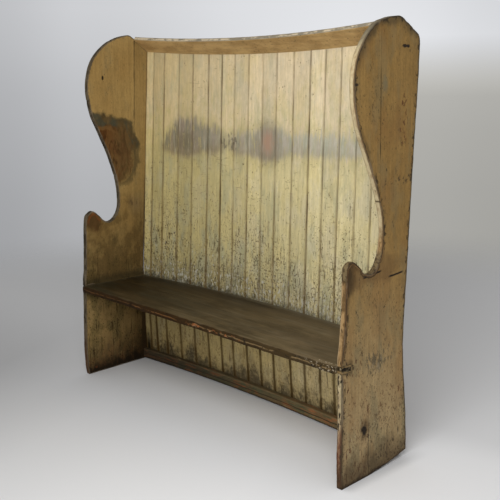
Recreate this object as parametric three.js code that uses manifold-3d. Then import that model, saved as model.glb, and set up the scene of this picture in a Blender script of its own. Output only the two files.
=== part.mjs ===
// Settle bench: two shaped end boards, a bowed back of beaded matchboards,
// a plank seat let into the ends, a sloping top board and a curved rail at the floor.
// Millimetres, +Z up. The bench faces -Y and +X is on the sitter's left, the viewer's right.
import * as THREE from 'three';
import { mergeVertices } from 'three/addons/utils/BufferGeometryUtils.js';
import Module from 'manifold-3d';

const wasm = await Module();
wasm.setup();

// Driving dimensions
const overallWidth = 1620;
const endThickness = 23;
const gap = 0.4; // play between pieces that touch
const innerHalf = overallWidth / 2 - endThickness;
const beyond = 60; // how far cutting shapes run past what they cut

// The back: where its front face stands at the ends, and how far its middle bows back
const upperFoot = { z: 441, y: 340, bow: 62 };
const upperHead = { z: 1600, y: 415, bow: 44 };
const lowerFoot = { z: 0, y: 345, bow: 45 };
const lowerHead = { z: 405, y: 334, bow: 34 };
const boardThickness = 12;
const upperBoardStart = 405;
const lowerBoardStart = 9;
const lowerBoardEnd = 404;

// Widths of the matchboards from the viewer's left, and the section they share
const upperWidths = [35, 86, 102, 96, 104, 88, 83, 89, 88, 84, 100, 96, 83, 87, 94, 85, 87, 87];
const lowerWidths = [42, 46, 73, 102, 101, 96, 88, 79, 92, 86, 82, 105, 85, 90, 78, 92, 86, 80, 71];
const tongue = { length: 4.5, from: 4.6, to: 7.6 };
const groove = { depth: 5, from: 4.2, to: 8 };
const bead = { radius: 2.4, quirk: 1.4, depth: 2, steps: 4 };
const seamGap = 0.6;

// The sloping top board
const topBoard = { frontY: 344, frontZ: 1612, bow: 44, slope: 0.72, tilt: 3, thickness: 18, overhang: 4 };
const topBoardRear = upperHead.y + upperHead.bow + boardThickness + topBoard.overhang;

// The seat
const seat = { topZ: 441, thickness: 28, frontY: -18, slope: 0.0187, seamY: 196, housing: 8, shoulder: 1.5 };
const seatEar = { front: 1, back: 46 };
const nosing = { radius: 9, steps: 5, underChamfer: 4 };
const footprintMiddle = (seat.frontY + topBoardRear) / 2; // from the front of the feet to the origin

// The curved pieces across the back
const bottomRail = { y: 324, bow: 38, from: 5, to: 51, easing: 4 };
const backBearer = { from: 372, thickness: 24 };
const middleRail = { from: 985, to: 1045, thickness: 22, play: 0.8 };

// Heights of the rings that each matchboard is built over
const upperLevels = [upperBoardStart, middleRail.from, middleRail.to, upperHead.z];
const lowerLevels = [lowerBoardStart, lowerBoardEnd];

// The outlines of the two ends, y from the front of the feet and z from the floor. They differ a
// little: the left wing stands taller, and the right foot is worn away under its back.
const leftOutline = {
  footFront: [[-2, 8], [-7, 45], [-9.5, 125], [-7.5, 210], [-4, 300], [-0.5, 400]],
  underside: [[1, 0]],
  footRear: [366, 0],
  armFront: [[1, 470], [7.5, 520], [12, 600], [15.5, 680], [20, 750]],
  wing: [
    [29, 778], [60, 794], [97, 767], [119, 744], [150, 733], [184, 750], [209, 798], [211, 880],
    [195, 963], [161, 1064], [116, 1166], [78, 1255], [61, 1360], [74, 1452], [110, 1521], [170, 1576],
    [238, 1609], [298, 1622],
  ],
  peakRound: [312, 1623],
  peakBack: [325, 1613],
};
const rightOutline = {
  footFront: [[-4, 6], [-4.5, 45], [-5, 124], [-2.5, 165], [0, 215], [1, 300], [1, 400]],
  underside: [[-2, 0], [140, 0], [200, 4], [260, 9], [320, 18]],
  footRear: [366, 26],
  armFront: [[1, 470], [9, 520], [17, 600], [21, 680], [24, 750]],
  wing: [
    [29, 778], [60, 791], [96, 765], [118, 743], [150, 734], [184, 750], [211, 797], [220, 880],
    [206, 966], [166, 1066], [118, 1168], [79, 1256], [62, 1360], [74, 1452], [112, 1519], [170, 1575],
    [240, 1600], [300, 1608],
  ],
  peakRound: [314, 1608],
  peakBack: [327, 1601],
};
const footRiseTo = [366, 80];
const chamferEnd = [412, 1551];
const chamferRound = [424, 1543];
const rearTop = [424, 1514];
const rearCurve = [[415, 1370], [398, 1180], [381, 969], [364, 740], [348, 550], [343, 460], [346, 350], [360, 200]];
const endCurveSteps = 3;
const rightSeamY = 202;
const waistZ = 880;
const leftSeam = { y: 262, lean: 0.0466 };
const farFront = -4 * beyond;
const farRear = footRiseTo[0] + 4 * beyond;

// Paint and bare wood
const paintOchre = new THREE.Color(0.62, 0.5, 0.32);
const paintStraw = new THREE.Color(0.72, 0.64, 0.47);
const paintShaded = new THREE.Color(0.55, 0.44, 0.27);
const bareGrey = new THREE.Color(0.3, 0.27, 0.2);
const bareBrown = new THREE.Color(0.42, 0.33, 0.22);

function finish(colour, roughness) {
  return new THREE.MeshStandardMaterial({ color: colour, roughness, metalness: 0 });
}

// Share of the bow at x: none at the ends, all of it in the middle
function bowShare(x) {
  return 1 - (x / innerHalf) ** 2;
}

// Front face of a leaning, bowed wall of boards at x and z
function wallY(foot, head, x, z) {
  const rise = (z - foot.z) / (head.z - foot.z);
  const atFoot = foot.y + foot.bow * bowShare(x);
  const atHead = head.y + head.bow * bowShare(x);
  return atFoot + (atHead - atFoot) * rise;
}

const upperY = (x, z) => wallY(upperFoot, upperHead, x, z);
const lowerY = (x, z) => wallY(lowerFoot, lowerHead, x, z);

// Distances across the back at which one board ends and the next begins
function seams(widths) {
  const edges = [-innerHalf];
  for (const width of widths) edges.push(edges.at(-1) + width);
  edges[edges.length - 1] = innerHalf;
  return edges;
}

// A closed solid over a row of rings with the same number of points
function loft(rings) {
  const count = rings[0].length;
  const positions = rings.flat().flatMap((point) => [point.x, point.y, point.z]);
  const index = [];
  for (let row = 0; row < rings.length - 1; row += 1) {
    for (let i = 0; i < count; i += 1) {
      const a = row * count + i;
      const b = row * count + ((i + 1) % count);
      index.push(a, b, b + count, a, b + count, a + count);
    }
  }
  const last = (rings.length - 1) * count;
  for (const [a, b, c] of capTriangles(rings[0])) index.push(b, a, c);
  for (const [a, b, c] of capTriangles(rings.at(-1))) index.push(last + a, last + b, last + c);
  const geometry = new THREE.BufferGeometry();
  geometry.setAttribute('position', new THREE.Float32BufferAttribute(positions, 3));
  geometry.setIndex(index);
  geometry.computeVertexNormals();
  return geometry;
}

// Triangles over one flat ring, turned the way its points run
function capTriangles(ring) {
  const normal = new THREE.Vector3();
  ring.forEach((point, i) => {
    const next = ring[(i + 1) % ring.length];
    normal.add(new THREE.Vector3().crossVectors(point, next));
  });
  normal.normalize();
  const across = new THREE.Vector3().subVectors(ring[1], ring[0]).normalize();
  const along = new THREE.Vector3().crossVectors(normal, across);
  const flat = ring.map((point) => new THREE.Vector2(point.dot(across), point.dot(along)));
  return THREE.ShapeUtils.triangulateShape(flat, []);
}

// A bar across the bench: section(x) gives its points in y and z at each station
function bar(stations, section) {
  return loft(stations.map((x) => section(x).map(([y, z]) => new THREE.Vector3(x, y, z))));
}

function toManifold(geometry) {
  const bare = geometry.clone();
  bare.deleteAttribute('normal');
  bare.deleteAttribute('uv');
  const merged = mergeVertices(bare, 1e-4);
  return new wasm.Manifold(new wasm.Mesh({
    numProp: 3,
    vertProperties: new Float32Array(merged.attributes.position.array),
    triVerts: new Uint32Array(merged.index.array),
  }));
}

function toGeometry(manifold) {
  const mesh = manifold.getMesh();
  const geometry = new THREE.BufferGeometry();
  geometry.setAttribute('position', new THREE.Float32BufferAttribute(mesh.vertProperties, 3));
  geometry.setIndex(new THREE.Uint32BufferAttribute(mesh.triVerts, 1));
  geometry.computeVertexNormals();
  return geometry;
}

function cut(geometry, ...cutters) {
  let solid = toManifold(geometry);
  for (const cutter of cutters) solid = solid.subtract(toManifold(cutter));
  return toGeometry(solid);
}

// A box given by its low and high corners
function block(low, high) {
  const geometry = new THREE.BoxGeometry(high[0] - low[0], high[1] - low[1], high[2] - low[2]);
  return geometry.translate((low[0] + high[0]) / 2, (low[1] + high[1]) / 2, (low[2] + high[2]) / 2);
}

function part(name, geometry, material) {
  const mesh = new THREE.Mesh(geometry, material);
  mesh.name = name;
  return mesh;
}

// Section of one matchboard: across its width and into its thickness, front face at 0,
// groove on the near side, bead and tongue on the far side. The last board has no tongue.
function boardSection(width, isLast) {
  const near = seamGap / 2;
  const far = width - seamGap / 2;
  const middle = far - bead.radius;
  const points = [[near, 0.8], [near + 0.8, 0], [middle - bead.radius - bead.quirk, 0]];
  points.push([middle - bead.radius - bead.quirk / 3, bead.depth]);
  for (let i = 0; i <= bead.steps; i += 1) {
    const turn = Math.PI * (i / bead.steps);
    points.push([middle - bead.radius * Math.cos(turn), bead.radius * (1 - Math.sin(turn))]);
  }
  if (!isLast) {
    points.push([far, tongue.from], [far + tongue.length, tongue.from + 0.3]);
    points.push([far + tongue.length, tongue.to - 0.3], [far, tongue.to]);
  }
  points.push([far, boardThickness], [near, boardThickness], [near, groove.to]);
  points.push([near + groove.depth, groove.to], [near + groove.depth, groove.from], [near, groove.from]);
  return points;
}

// One ring of a board: its section laid between two points of the wall at height z,
// with its outer corners kept clear of the end panels
function boardRing(section, x0, x1, z, faceY) {
  const start = new THREE.Vector2(x0, faceY(x0, z));
  const run = new THREE.Vector2(x1, faceY(x1, z)).sub(start);
  const stretch = run.length() / (x1 - x0);
  const limit = innerHalf - gap;
  run.normalize();
  return section.map(([u, v]) => new THREE.Vector3(
    THREE.MathUtils.clamp(start.x + run.x * u * stretch - run.y * v, -limit, limit),
    start.y + run.y * u * stretch + run.x * v,
    z,
  ));
}

// Upper face of the top board, which slopes back and stands a little higher on the left
function topBoardTop(x, y) {
  return topBoard.frontZ - topBoard.tilt * (x / innerHalf) - topBoard.slope * (y - topBoard.frontY);
}

const topBoardDrop = topBoard.thickness * Math.hypot(1, topBoard.slope);

// Slides each point of a ring along its board until it meets the underside of the top board
function trimToTopBoard(lowRing, highRing) {
  return highRing.map((high, i) => {
    const low = lowRing[i];
    const way = new THREE.Vector3().subVectors(high, low);
    const ceiling = topBoardTop(low.x, low.y) - topBoardDrop - gap;
    const share = (ceiling - low.z) / (way.z + topBoard.slope * way.y);
    return low.clone().addScaledVector(way, share);
  });
}

function matchboards(prefix, widths, levels, faceY, material, trimTop) {
  const edges = seams(widths);
  return widths.map((_, i) => {
    const [x0, x1] = [edges[i], edges[i + 1]];
    const section = boardSection(x1 - x0, i === widths.length - 1);
    const rings = levels.map((z) => boardRing(section, x0, x1, z, faceY));
    if (trimTop) rings.push(trimTop(rings.at(-2), rings.pop()));
    return part(`${prefix}_${String(i + 1).padStart(2, '0')}`, loft(rings), material);
  });
}

// Top board: a flat board leaning back, with its front and rear edges cut to the bow
function makeTopBoard(material) {
  const stations = seams(upperWidths);
  stations[0] += gap;
  stations[stations.length - 1] -= gap;
  const leanY = topBoard.thickness * topBoard.slope / Math.hypot(1, topBoard.slope);
  const section = (x) => {
    const frontY = topBoard.frontY + topBoard.bow * bowShare(x);
    const rearY = upperY(x, upperHead.z) + boardThickness + topBoard.overhang;
    return [
      [frontY, topBoardTop(x, frontY)],
      [frontY - leanY, topBoardTop(x, frontY - leanY) - topBoardDrop],
      [rearY - leanY, topBoardTop(x, rearY - leanY) - topBoardDrop],
      [rearY, topBoardTop(x, rearY)],
    ];
  };
  return part('top_board', bar(stations, section), material);
}

const seatTop = (y) => seat.topZ - seat.slope * (y - seat.frontY);
const housedTop = (y) => seatTop(y) - seat.shoulder;

// What comes off the top of a seat plank at one end, so that it goes into its housing
function shoulderCutter(sign) {
  const innerX = innerHalf - gap;
  const outerX = overallWidth / 2 + beyond;
  const frontY = seat.frontY - beyond;
  const rearY = rearTop[0] + beyond;
  const above = seat.topZ + beyond;
  const section = [[rearY, housedTop(rearY)], [rearY, above], [frontY, above], [frontY, housedTop(frontY)]];
  return bar(sign < 0 ? [-outerX, -innerX] : [innerX, outerX], () => section);
}

// Front seat plank: a rounded nosing, ends housed in the end boards, ears through to the outside
function makeSeatFront(material) {
  const half = overallWidth / 2 - gap;
  const backY = seat.seamY - gap / 2;
  const outline = [[backY, seatTop(backY) - seat.thickness], [backY, seatTop(backY)]];
  for (let i = 0; i <= nosing.steps; i += 1) {
    const turn = (Math.PI / 2) * (i / nosing.steps);
    const y = seat.frontY + nosing.radius * (1 - Math.sin(turn));
    outline.push([y, seatTop(y) - nosing.radius * (1 - Math.cos(turn))]);
  }
  const underside = seatTop(seat.frontY) - seat.thickness;
  outline.push([seat.frontY, underside + nosing.underChamfer]);
  outline.push([seat.frontY + nosing.underChamfer, underside]);
  const plank = bar([-half, half], () => outline);
  const side = innerHalf + seat.housing - gap;
  const above = seat.topZ + beyond;
  const below = seat.topZ - seat.thickness - beyond;
  const trims = [];
  for (const sign of [-1, 1]) {
    trims.push(shoulderCutter(sign));
    const span = (from, to) => (sign < 0 ? [-to, -from] : [from, to]);
    const [backFrom, backTo] = span(side, half + beyond);
    trims.push(block([backFrom, seatEar.back, below], [backTo, backY + beyond, above]));
    const [noseFrom, noseTo] = span(innerHalf - gap, half + beyond);
    trims.push(block([noseFrom, seat.frontY - beyond, below], [noseTo, seatEar.front, above]));
  }
  return part('seat_front_plank', cut(plank, ...trims), material);
}

// Rear seat plank: its back edge is cut to the bow of the matchboards
function makeSeatRear(material) {
  const stations = seams(upperWidths);
  stations.unshift(-(innerHalf + seat.housing - gap));
  stations.push(innerHalf + seat.housing - gap);
  const frontY = seat.seamY + gap / 2;
  const section = (x) => {
    const inside = Math.min(Math.abs(x), innerHalf) * Math.sign(x);
    const backY = upperY(inside, upperBoardStart) - gap;
    return [
      [frontY, seatTop(frontY)],
      [frontY, seatTop(frontY) - seat.thickness],
      [backY, seatTop(backY) - seat.thickness],
      [backY, seatTop(backY)],
    ];
  };
  return part('seat_rear_plank', cut(bar(stations, section), shoulderCutter(-1), shoulderCutter(1)), material);
}

// Bottom rail: stands on edge in front of the lower matchboards, its top arris eased
function makeBottomRail(material) {
  const stations = seams(lowerWidths);
  stations[0] += gap;
  stations[stations.length - 1] -= gap;
  const section = (x) => {
    const back = lowerY(x, bottomRail.to) - gap;
    const front = bottomRail.y + bottomRail.bow * bowShare(x);
    return [
      [back, bottomRail.from],
      [back, bottomRail.to],
      [front + bottomRail.easing, bottomRail.to],
      [front, bottomRail.to - bottomRail.easing],
      [front, bottomRail.from],
    ];
  };
  return part('bottom_rail', bar(stations, section), material);
}

// Bearer under the back of the seat, which the lower matchboards are nailed to
function makeBackBearer(material) {
  const stations = seams(lowerWidths);
  stations[0] += gap;
  stations[stations.length - 1] -= gap;
  const section = (x) => {
    const back = lowerY(x, lowerHead.z) - gap;
    const front = back - backBearer.thickness;
    const topZ = (y) => seatTop(y) - seat.thickness - gap;
    return [[back, backBearer.from], [back, topZ(back)], [front, topZ(front)], [front, backBearer.from]];
  };
  return part('seat_back_bearer', bar(stations, section), material);
}

// Middle rail: a curved batten across the rear of the upper matchboards
function makeMiddleRail(material) {
  const stations = seams(upperWidths);
  stations[0] += gap;
  stations[stations.length - 1] -= gap;
  const section = (x) => {
    const front = (z) => upperY(x, z) + boardThickness + middleRail.play;
    const rear = (z) => front(z) + middleRail.thickness;
    return [
      [rear(middleRail.from), middleRail.from],
      [rear(middleRail.to), middleRail.to],
      [front(middleRail.to), middleRail.to],
      [front(middleRail.from), middleRail.from],
    ];
  };
  return part('back_middle_rail', bar(stations, section), material);
}

// Outline of an end: foot, arm, hollow, wing, sloped top corner, leaning back edge, splayed foot
function endOutline({ footFront, underside, footRear, armFront, wing, peakRound, peakBack }) {
  const points = (list) => list.map(([y, z]) => new THREE.Vector2(y, z));
  const outline = new THREE.Shape();
  outline.moveTo(...footRear);
  outline.lineTo(...footRiseTo);
  outline.splineThru(points([...rearCurve].reverse()));
  outline.lineTo(...rearTop);
  outline.quadraticCurveTo(...chamferRound, ...chamferEnd);
  outline.lineTo(...peakBack);
  outline.quadraticCurveTo(...peakRound, ...wing.at(-1));
  outline.splineThru(points([...wing].reverse().slice(1)));
  outline.splineThru(points([...armFront].reverse()));
  outline.lineTo(0, seat.topZ);
  outline.splineThru(points([...footFront].reverse()));
  for (const [y, z] of underside) outline.lineTo(y, z);
  return outline;
}

// An end panel as one plate, on the inner side towards the bench's middle
function endPlate(side) {
  const geometry = new THREE.ExtrudeGeometry(endOutline(side < 0 ? leftOutline : rightOutline), {
    depth: endThickness,
    bevelEnabled: false,
    curveSegments: endCurveSteps,
  });
  const turn = new THREE.Matrix4().makeBasis(
    new THREE.Vector3(0, 1, 0),
    new THREE.Vector3(0, 0, 1),
    new THREE.Vector3(1, 0, 0),
  );
  geometry.applyMatrix4(turn);
  return geometry.translate(side < 0 ? -overallWidth / 2 : innerHalf, 0, 0);
}

// What the seat takes out of an end: an open notch for the ear and a housing behind it
function seatCutters(side) {
  const through = overallWidth / 2 + beyond;
  const deep = innerHalf + seat.housing;
  const level = (y) => [seatTop(y) - seat.thickness - gap, housedTop(y) + gap];
  const slot = (outerX, fromY, toY) => {
    const [lowA, highA] = level(fromY);
    const [lowB, highB] = level(toY);
    const section = [[toY, lowB], [toY, highB], [fromY, highA], [fromY, lowA]];
    const innerX = innerHalf - beyond;
    return bar(side < 0 ? [-outerX, -innerX] : [innerX, outerX], () => section);
  };
  return [slot(through, -beyond, seatEar.back + gap), slot(deep, 0, rearTop[0] + beyond)];
}

// The slab of an end between two leaning seams and two heights, for parting its boards
function boardSlab(nearY, farY, lean, fromZ = -beyond, toZ = topBoard.frontZ + beyond) {
  return toManifold(bar([-overallWidth, overallWidth], () => [
    [farY + lean * fromZ, fromZ],
    [farY + lean * toZ, toZ],
    [nearY + lean * toZ, toZ],
    [nearY + lean * fromZ, fromZ],
  ]));
}

// Left end: cut for the seat and parted in two boards along its leaning seam
function makeLeftEnd(material) {
  const plate = toManifold(cut(endPlate(-1), ...seatCutters(-1)));
  const front = boardSlab(farFront, leftSeam.y - gap / 2, leftSeam.lean);
  const rear = boardSlab(leftSeam.y + gap / 2, farRear, leftSeam.lean);
  return [
    part('left_end_front_board', toGeometry(plate.intersect(front)), material),
    part('left_end_rear_board', toGeometry(plate.intersect(rear)), material),
  ];
}

// Right end: its upright seam runs out at the hollow, so the front board is an arm and a wing
function makeRightEnd(material) {
  const plate = toManifold(cut(endPlate(1), ...seatCutters(1)));
  const arm = boardSlab(farFront, rightSeamY - gap / 2, 0, -beyond, waistZ);
  const wing = boardSlab(farFront, rightSeamY - gap / 2, 0, waistZ);
  const rear = boardSlab(rightSeamY + gap / 2, farRear, 0);
  return [
    part('right_end_arm_board', toGeometry(plate.intersect(arm)), material),
    part('right_end_wing_board', toGeometry(plate.intersect(wing)), material),
    part('right_end_rear_board', toGeometry(plate.intersect(rear)), material),
  ];
}

function groupOf(...meshes) {
  const group = new THREE.Group();
  group.add(...meshes.flat());
  return group;
}

const ends = groupOf(
  makeLeftEnd(finish(paintOchre, 0.72)),
  makeRightEnd(finish(paintOchre, 0.72)),
);

const back = groupOf(
  matchboards('upper_back_board', upperWidths, upperLevels, upperY, finish(paintStraw, 0.68),
    trimToTopBoard),
  matchboards('lower_back_board', lowerWidths, lowerLevels, lowerY, finish(paintStraw, 0.72)),
  makeMiddleRail(finish(bareBrown, 0.85)),
  makeTopBoard(finish(paintShaded, 0.7)),
);

const seatPieces = groupOf(
  makeSeatFront(finish(bareGrey, 0.6)),
  makeSeatRear(finish(bareGrey, 0.6)),
  makeBackBearer(finish(bareBrown, 0.85)),
  makeBottomRail(finish(bareBrown, 0.75)),
);

const settle = groupOf(ends, back, seatPieces);
settle.position.y = -footprintMiddle;

export default settle;
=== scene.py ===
import math

import bpy
import numpy as np
from mathutils import Matrix, Vector
from mathutils.geometry import delaunay_2d_cdt


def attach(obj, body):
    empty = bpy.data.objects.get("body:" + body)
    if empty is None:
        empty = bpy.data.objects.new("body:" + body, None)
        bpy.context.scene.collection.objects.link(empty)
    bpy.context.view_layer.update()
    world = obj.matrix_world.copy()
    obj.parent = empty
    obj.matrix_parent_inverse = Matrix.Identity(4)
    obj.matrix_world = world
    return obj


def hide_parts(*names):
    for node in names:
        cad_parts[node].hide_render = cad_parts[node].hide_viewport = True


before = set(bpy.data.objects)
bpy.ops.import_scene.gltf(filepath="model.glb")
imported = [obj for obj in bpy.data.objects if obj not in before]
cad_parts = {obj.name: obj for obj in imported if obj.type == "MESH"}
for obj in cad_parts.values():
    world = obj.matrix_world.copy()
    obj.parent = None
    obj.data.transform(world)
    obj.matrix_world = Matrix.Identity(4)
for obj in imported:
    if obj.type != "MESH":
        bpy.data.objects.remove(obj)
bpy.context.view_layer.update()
scene = bpy.context.scene
scene.view_settings.view_transform = "Standard"

# Everything is in metres. x runs along the bench, y goes to its back, z is up,
# and y is counted from the front of the feet until middleY is taken off.
bench = {
    "halfWidth": 0.810,
    "innerHalf": 0.787,
    "middleY": 0.2285,
    "gap": 0.0004,
    "seatLevel": 0.434,
    "seed": 11,
}

# How the two walls of matchboards lean and bow, as in the solids
walls = {
    "upper": {"foot": (0.441, 0.340, 0.062), "head": (1.600, 0.415, 0.044)},
    "lower": {"foot": (0.0, 0.345, 0.045), "head": (0.405, 0.334, 0.034)},
}


def bowShare(x):
    # none of the bow at the ends, all of it in the middle
    return 1 - (x / bench["innerHalf"]) ** 2


def wallY(name, x, z):
    # front face of a wall: its foot and head lines bow, and it is straight between them
    footZ, footY, footBow = walls[name]["foot"]
    headZ, headY, headBow = walls[name]["head"]
    rise = (z - footZ) / (headZ - footZ)
    return footY + footBow * bowShare(x) + (headY - footY + (headBow - footBow) * bowShare(x)) * rise


# ---- making meshes


def wobble(t, seed, size, reach=1.0):
    # a smooth random line: five sine waves of falling height and rising pace
    dice = np.random.default_rng(bench["seed"] * 1000 + seed)
    total = np.zeros_like(np.asarray(t, float))
    for octave in range(5):
        pace = 2 ** octave * dice.uniform(0.8, 1.2) / reach
        total = total + np.sin(t * pace * 2 * math.pi + dice.uniform(0, 6.28)) / 1.6 ** octave
    return total * size / 2


def gridFaces(rows, columns, wrap=True):
    # the quads between the points of a grid, closed in a ring across its columns if wrap is set
    r = np.arange(rows - 1)[:, None] * columns
    c = np.arange(columns if wrap else columns - 1)[None]
    a = r + c
    b = r + (c + 1) % columns
    return np.stack([a, b, b + columns, a + columns], -1).reshape(-1, 4)


def signedVolume(points, faces):
    # six times the volume inside the faces, above zero if they point outwards
    total = 0.0
    for size in {len(face) for face in faces}:
        group = np.array([face for face in faces if len(face) == size])
        for k in range(1, size - 1):
            a, b, c = points[group[:, 0]], points[group[:, k]], points[group[:, k + 1]]
            total += np.einsum("ij,ij->i", a, np.cross(b, c)).sum()
    return total


def makePiece(name, points, faces, material, stands=(), marks=None, smooth=40):
    # puts computed points, faces and per-point marks in a mesh and rides it on the bench
    points = np.asarray(points, float).reshape(-1, 3) - (0, bench["middleY"], 0)
    faces = [list(map(int, face)) for face in faces]
    if signedVolume(points, faces) < 0:
        faces = [face[::-1] for face in faces]
    mesh = bpy.data.meshes.new(name)
    mesh.from_pydata(points.tolist(), [], faces)
    for markName, values in (marks or {}).items():
        mark = mesh.attributes.new(markName, "FLOAT", "POINT")
        mark.data.foreach_set("value", np.asarray(values, np.float32).ravel())
    mesh.materials.append(material)
    mesh.update()
    mesh.shade_smooth()
    mesh.set_sharp_from_angle(angle=math.radians(smooth))
    piece = bpy.data.objects.new(name, mesh)
    scene.collection.objects.link(piece)
    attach(piece, "root")
    if stands:
        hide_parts(*stands)
    return piece


def closedLoft(rings):
    # the faces of a solid whose rings of points lie one after another, with a face on each end
    rows, columns = rings.shape[:2]
    sides = gridFaces(rows, columns)
    first = list(range(columns))[::-1]
    last = list(range((rows - 1) * columns, rows * columns))
    return [*sides.tolist(), first, last]


# ---- making materials


class Signal:
    # one output of a node. The usual signs on it add Math nodes.
    def __init__(self, finish, socket):
        self.finish = finish
        self.socket = socket

    def __add__(self, other):
        return self.finish.maths("ADD", self, other)

    def __sub__(self, other):
        return self.finish.maths("SUBTRACT", self, other)

    def __rsub__(self, other):
        return self.finish.maths("SUBTRACT", other, self)

    def __mul__(self, other):
        return self.finish.maths("MULTIPLY", self, other)

    def __truediv__(self, other):
        return self.finish.maths("DIVIDE", self, other)

    def __rtruediv__(self, other):
        return self.finish.maths("DIVIDE", other, self)

    def __pow__(self, other):
        return self.finish.maths("POWER", self, other)

    __radd__ = __add__
    __rmul__ = __mul__


class Finish:
    # the nodes of a material or world. add() makes any node and the others are short names for
    # common ones. Colours are given as numbers, as a Signal or by their name in tones, which is
    # the piece's dictionary. colour is the paint so far, and lay() puts another over it.
    def __init__(self, owner, tones, place="Object"):
        self.owner = owner
        self.tones = tones
        owner.use_nodes = True
        self.tree = owner.node_tree
        self.tree.nodes.clear()
        self.colour = None
        self.place = self.add("ShaderNodeTexCoord", output=place)
        self.x, self.y, self.z = (
            self.add("ShaderNodeSeparateXYZ", sockets={0: self.place}, output=axis) for axis in "XYZ"
        )

    def add(self, kind, settings=None, sockets=None, output=0):
        node = self.tree.nodes.new(kind)
        for key, value in (settings or {}).items():
            setattr(node, key, value)
        for key, value in (sockets or {}).items():
            if isinstance(value, Signal):
                self.tree.links.new(value.socket, node.inputs[key])
            else:
                node.inputs[key].default_value = value
        return Signal(self, node.outputs[output]) if node.outputs else node

    def mark(self, name):
        return self.add("ShaderNodeAttribute", {"attribute_name": name}, output="Fac")

    def noise(self, scale, stretch=(1, 1, 1), detail=3, rough=0.55, shift=0.0, twist=0.0):
        spot = self.add(
            "ShaderNodeMapping",
            sockets={"Vector": self.place, "Location": (shift, shift * 0.7, shift * 1.3), "Scale": stretch},
        )
        return self.add(
            "ShaderNodeTexNoise",
            sockets={
                "Vector": spot,
                "Scale": scale,
                "Detail": detail,
                "Roughness": rough,
                "Distortion": twist,
            },
        )

    def flecks(self, scale, stretch, amount, shift, width=0.03, detail=2):
        # spots where a noise is high: few where the amount is 0, many where it is 1
        return self.soft(self.noise(scale, stretch, detail, 0.6, shift) + amount * 0.13, 0.70, 0.70 + width)

    def soft(self, value, low, high, to=(0.0, 1.0)):
        # 0 below low and 1 above high, with a smooth rise between them
        return self.add(
            "ShaderNodeMapRange",
            {"interpolation_type": "SMOOTHSTEP"},
            {"Value": value, "From Min": low, "From Max": high, "To Min": to[0], "To Max": to[1]},
        )

    def maths(self, operation, *values):
        return self.add("ShaderNodeMath", {"operation": operation}, dict(enumerate(values)))

    def fade(self, value, low, high):
        return 1 - self.soft(value, low, high)

    def most(self, a, b):
        return self.maths("MAXIMUM", a, b)

    def size(self, value):
        return self.maths("ABSOLUTE", value)

    def stripe(self, offset, low, high):
        # 1 where the offset from a line is small, 0 where it is large
        return self.fade(self.size(offset), low, high)

    def oval(self, u, v, centre, reach, power=2):
        # distance from the middle of an oval, 1 on its edge. A higher power makes it squarer.
        along = self.size((u - centre[0]) / reach[0])
        across = self.size((v - centre[1]) / reach[1])
        return (along ** power + across ** power) ** (1 / power)

    def spot(self, u, v, centre, reach, low, high, uneven=None, power=2):
        # 1 in an oval and 0 outside it, with an edge that a noise can make uneven
        away = self.oval(u, v, centre, reach, power)
        return self.fade(away if uneven is None else away + uneven, low, high)

    def blend(self, mask, a, b, how="MIX"):
        # colour a where the mask is 0, colour b where it is 1
        colours = [self.tones[value] if isinstance(value, str) else value for value in (a, b)]
        rgba = [value if isinstance(value, Signal) else (*value, 1.0) for value in colours]
        return self.add(
            "ShaderNodeMix",
            {"data_type": "RGBA", "blend_type": how, "clamp_factor": True},
            {0: mask, 6: rgba[0], 7: rgba[1]},
            output=2,
        )

    def choose(self, mask, pair):
        # the same between the two colours that one name holds
        return self.blend(mask, *self.tones[pair])

    def ramp(self, value, low, high, stops):
        # straight lines between stops of a place and up to three numbers
        share = self.soft(value, low, high)
        share.socket.node.interpolation_type = "LINEAR"
        ramp = self.add("ShaderNodeValToRGB", sockets={0: share})
        elements = ramp.socket.node.color_ramp.elements
        for i, (place, *numbers) in enumerate(stops):
            share = (place - low) / (high - low)
            stop = elements[0] if i == 0 else elements[-1] if i == len(stops) - 1 else elements.new(share)
            stop.color = (*numbers, *[0.0] * (3 - len(numbers)), 1.0)
        return ramp

    def lay(self, mask, over):
        self.colour = self.blend(mask, self.colour, over)

    def vary(self, amount):
        self.colour = self.shade(self.colour, amount)

    def parts(self, colour):
        return [self.add("ShaderNodeSeparateXYZ", sockets={0: colour}, output=axis) for axis in "XYZ"]

    def shade(self, colour, amount):
        # a colour made lighter or darker by a number around 1
        colour = self.tones[colour] if isinstance(colour, str) else colour
        return self.add("ShaderNodeVectorMath", {"operation": "SCALE"}, {0: colour, "Scale": amount})

    def wallGap(self, x, y, z):
        # how far a place stands in front of the upper wall, from the wall's straight lines
        (footZ, footY, footBow), (headZ, headY, headBow) = walls["upper"]["foot"], walls["upper"]["head"]
        bow = 1 - x * x * (1 / bench["innerHalf"] ** 2)
        rise = (z - footZ) / (headZ - footZ)
        return footY + bow * footBow + rise * (headY - footY + bow * (headBow - footBow)) - y

    def done(self, rough, height):
        # the bump's distance is how deep the deepest marks look, in metres
        normal = self.add("ShaderNodeBump", sockets={"Strength": 1.0, "Distance": 0.0008, "Height": height})
        shader = self.add(
            "ShaderNodeBsdfPrincipled",
            sockets={
                "Base Color": self.colour,
                "Roughness": rough,
                "Normal": normal,
                "Specular IOR Level": 0.08,
            },
        )
        self.add("ShaderNodeOutputMaterial", sockets={"Surface": shader})
        return self.owner


def newFinish(name, tones):
    return Finish(bpy.data.materials.new(name), tones)


print("frame loaded and helpers ready")

# ---- paint on the ends

endPaint = {
    "ochre": (0.345, 0.226, 0.080),
    "ochreDark": (0.262, 0.159, 0.051),
    "olive": (0.215, 0.165, 0.078),
    "speck": (0.045, 0.031, 0.018),
    "bare": (0.165, 0.125, 0.080),
}


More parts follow.
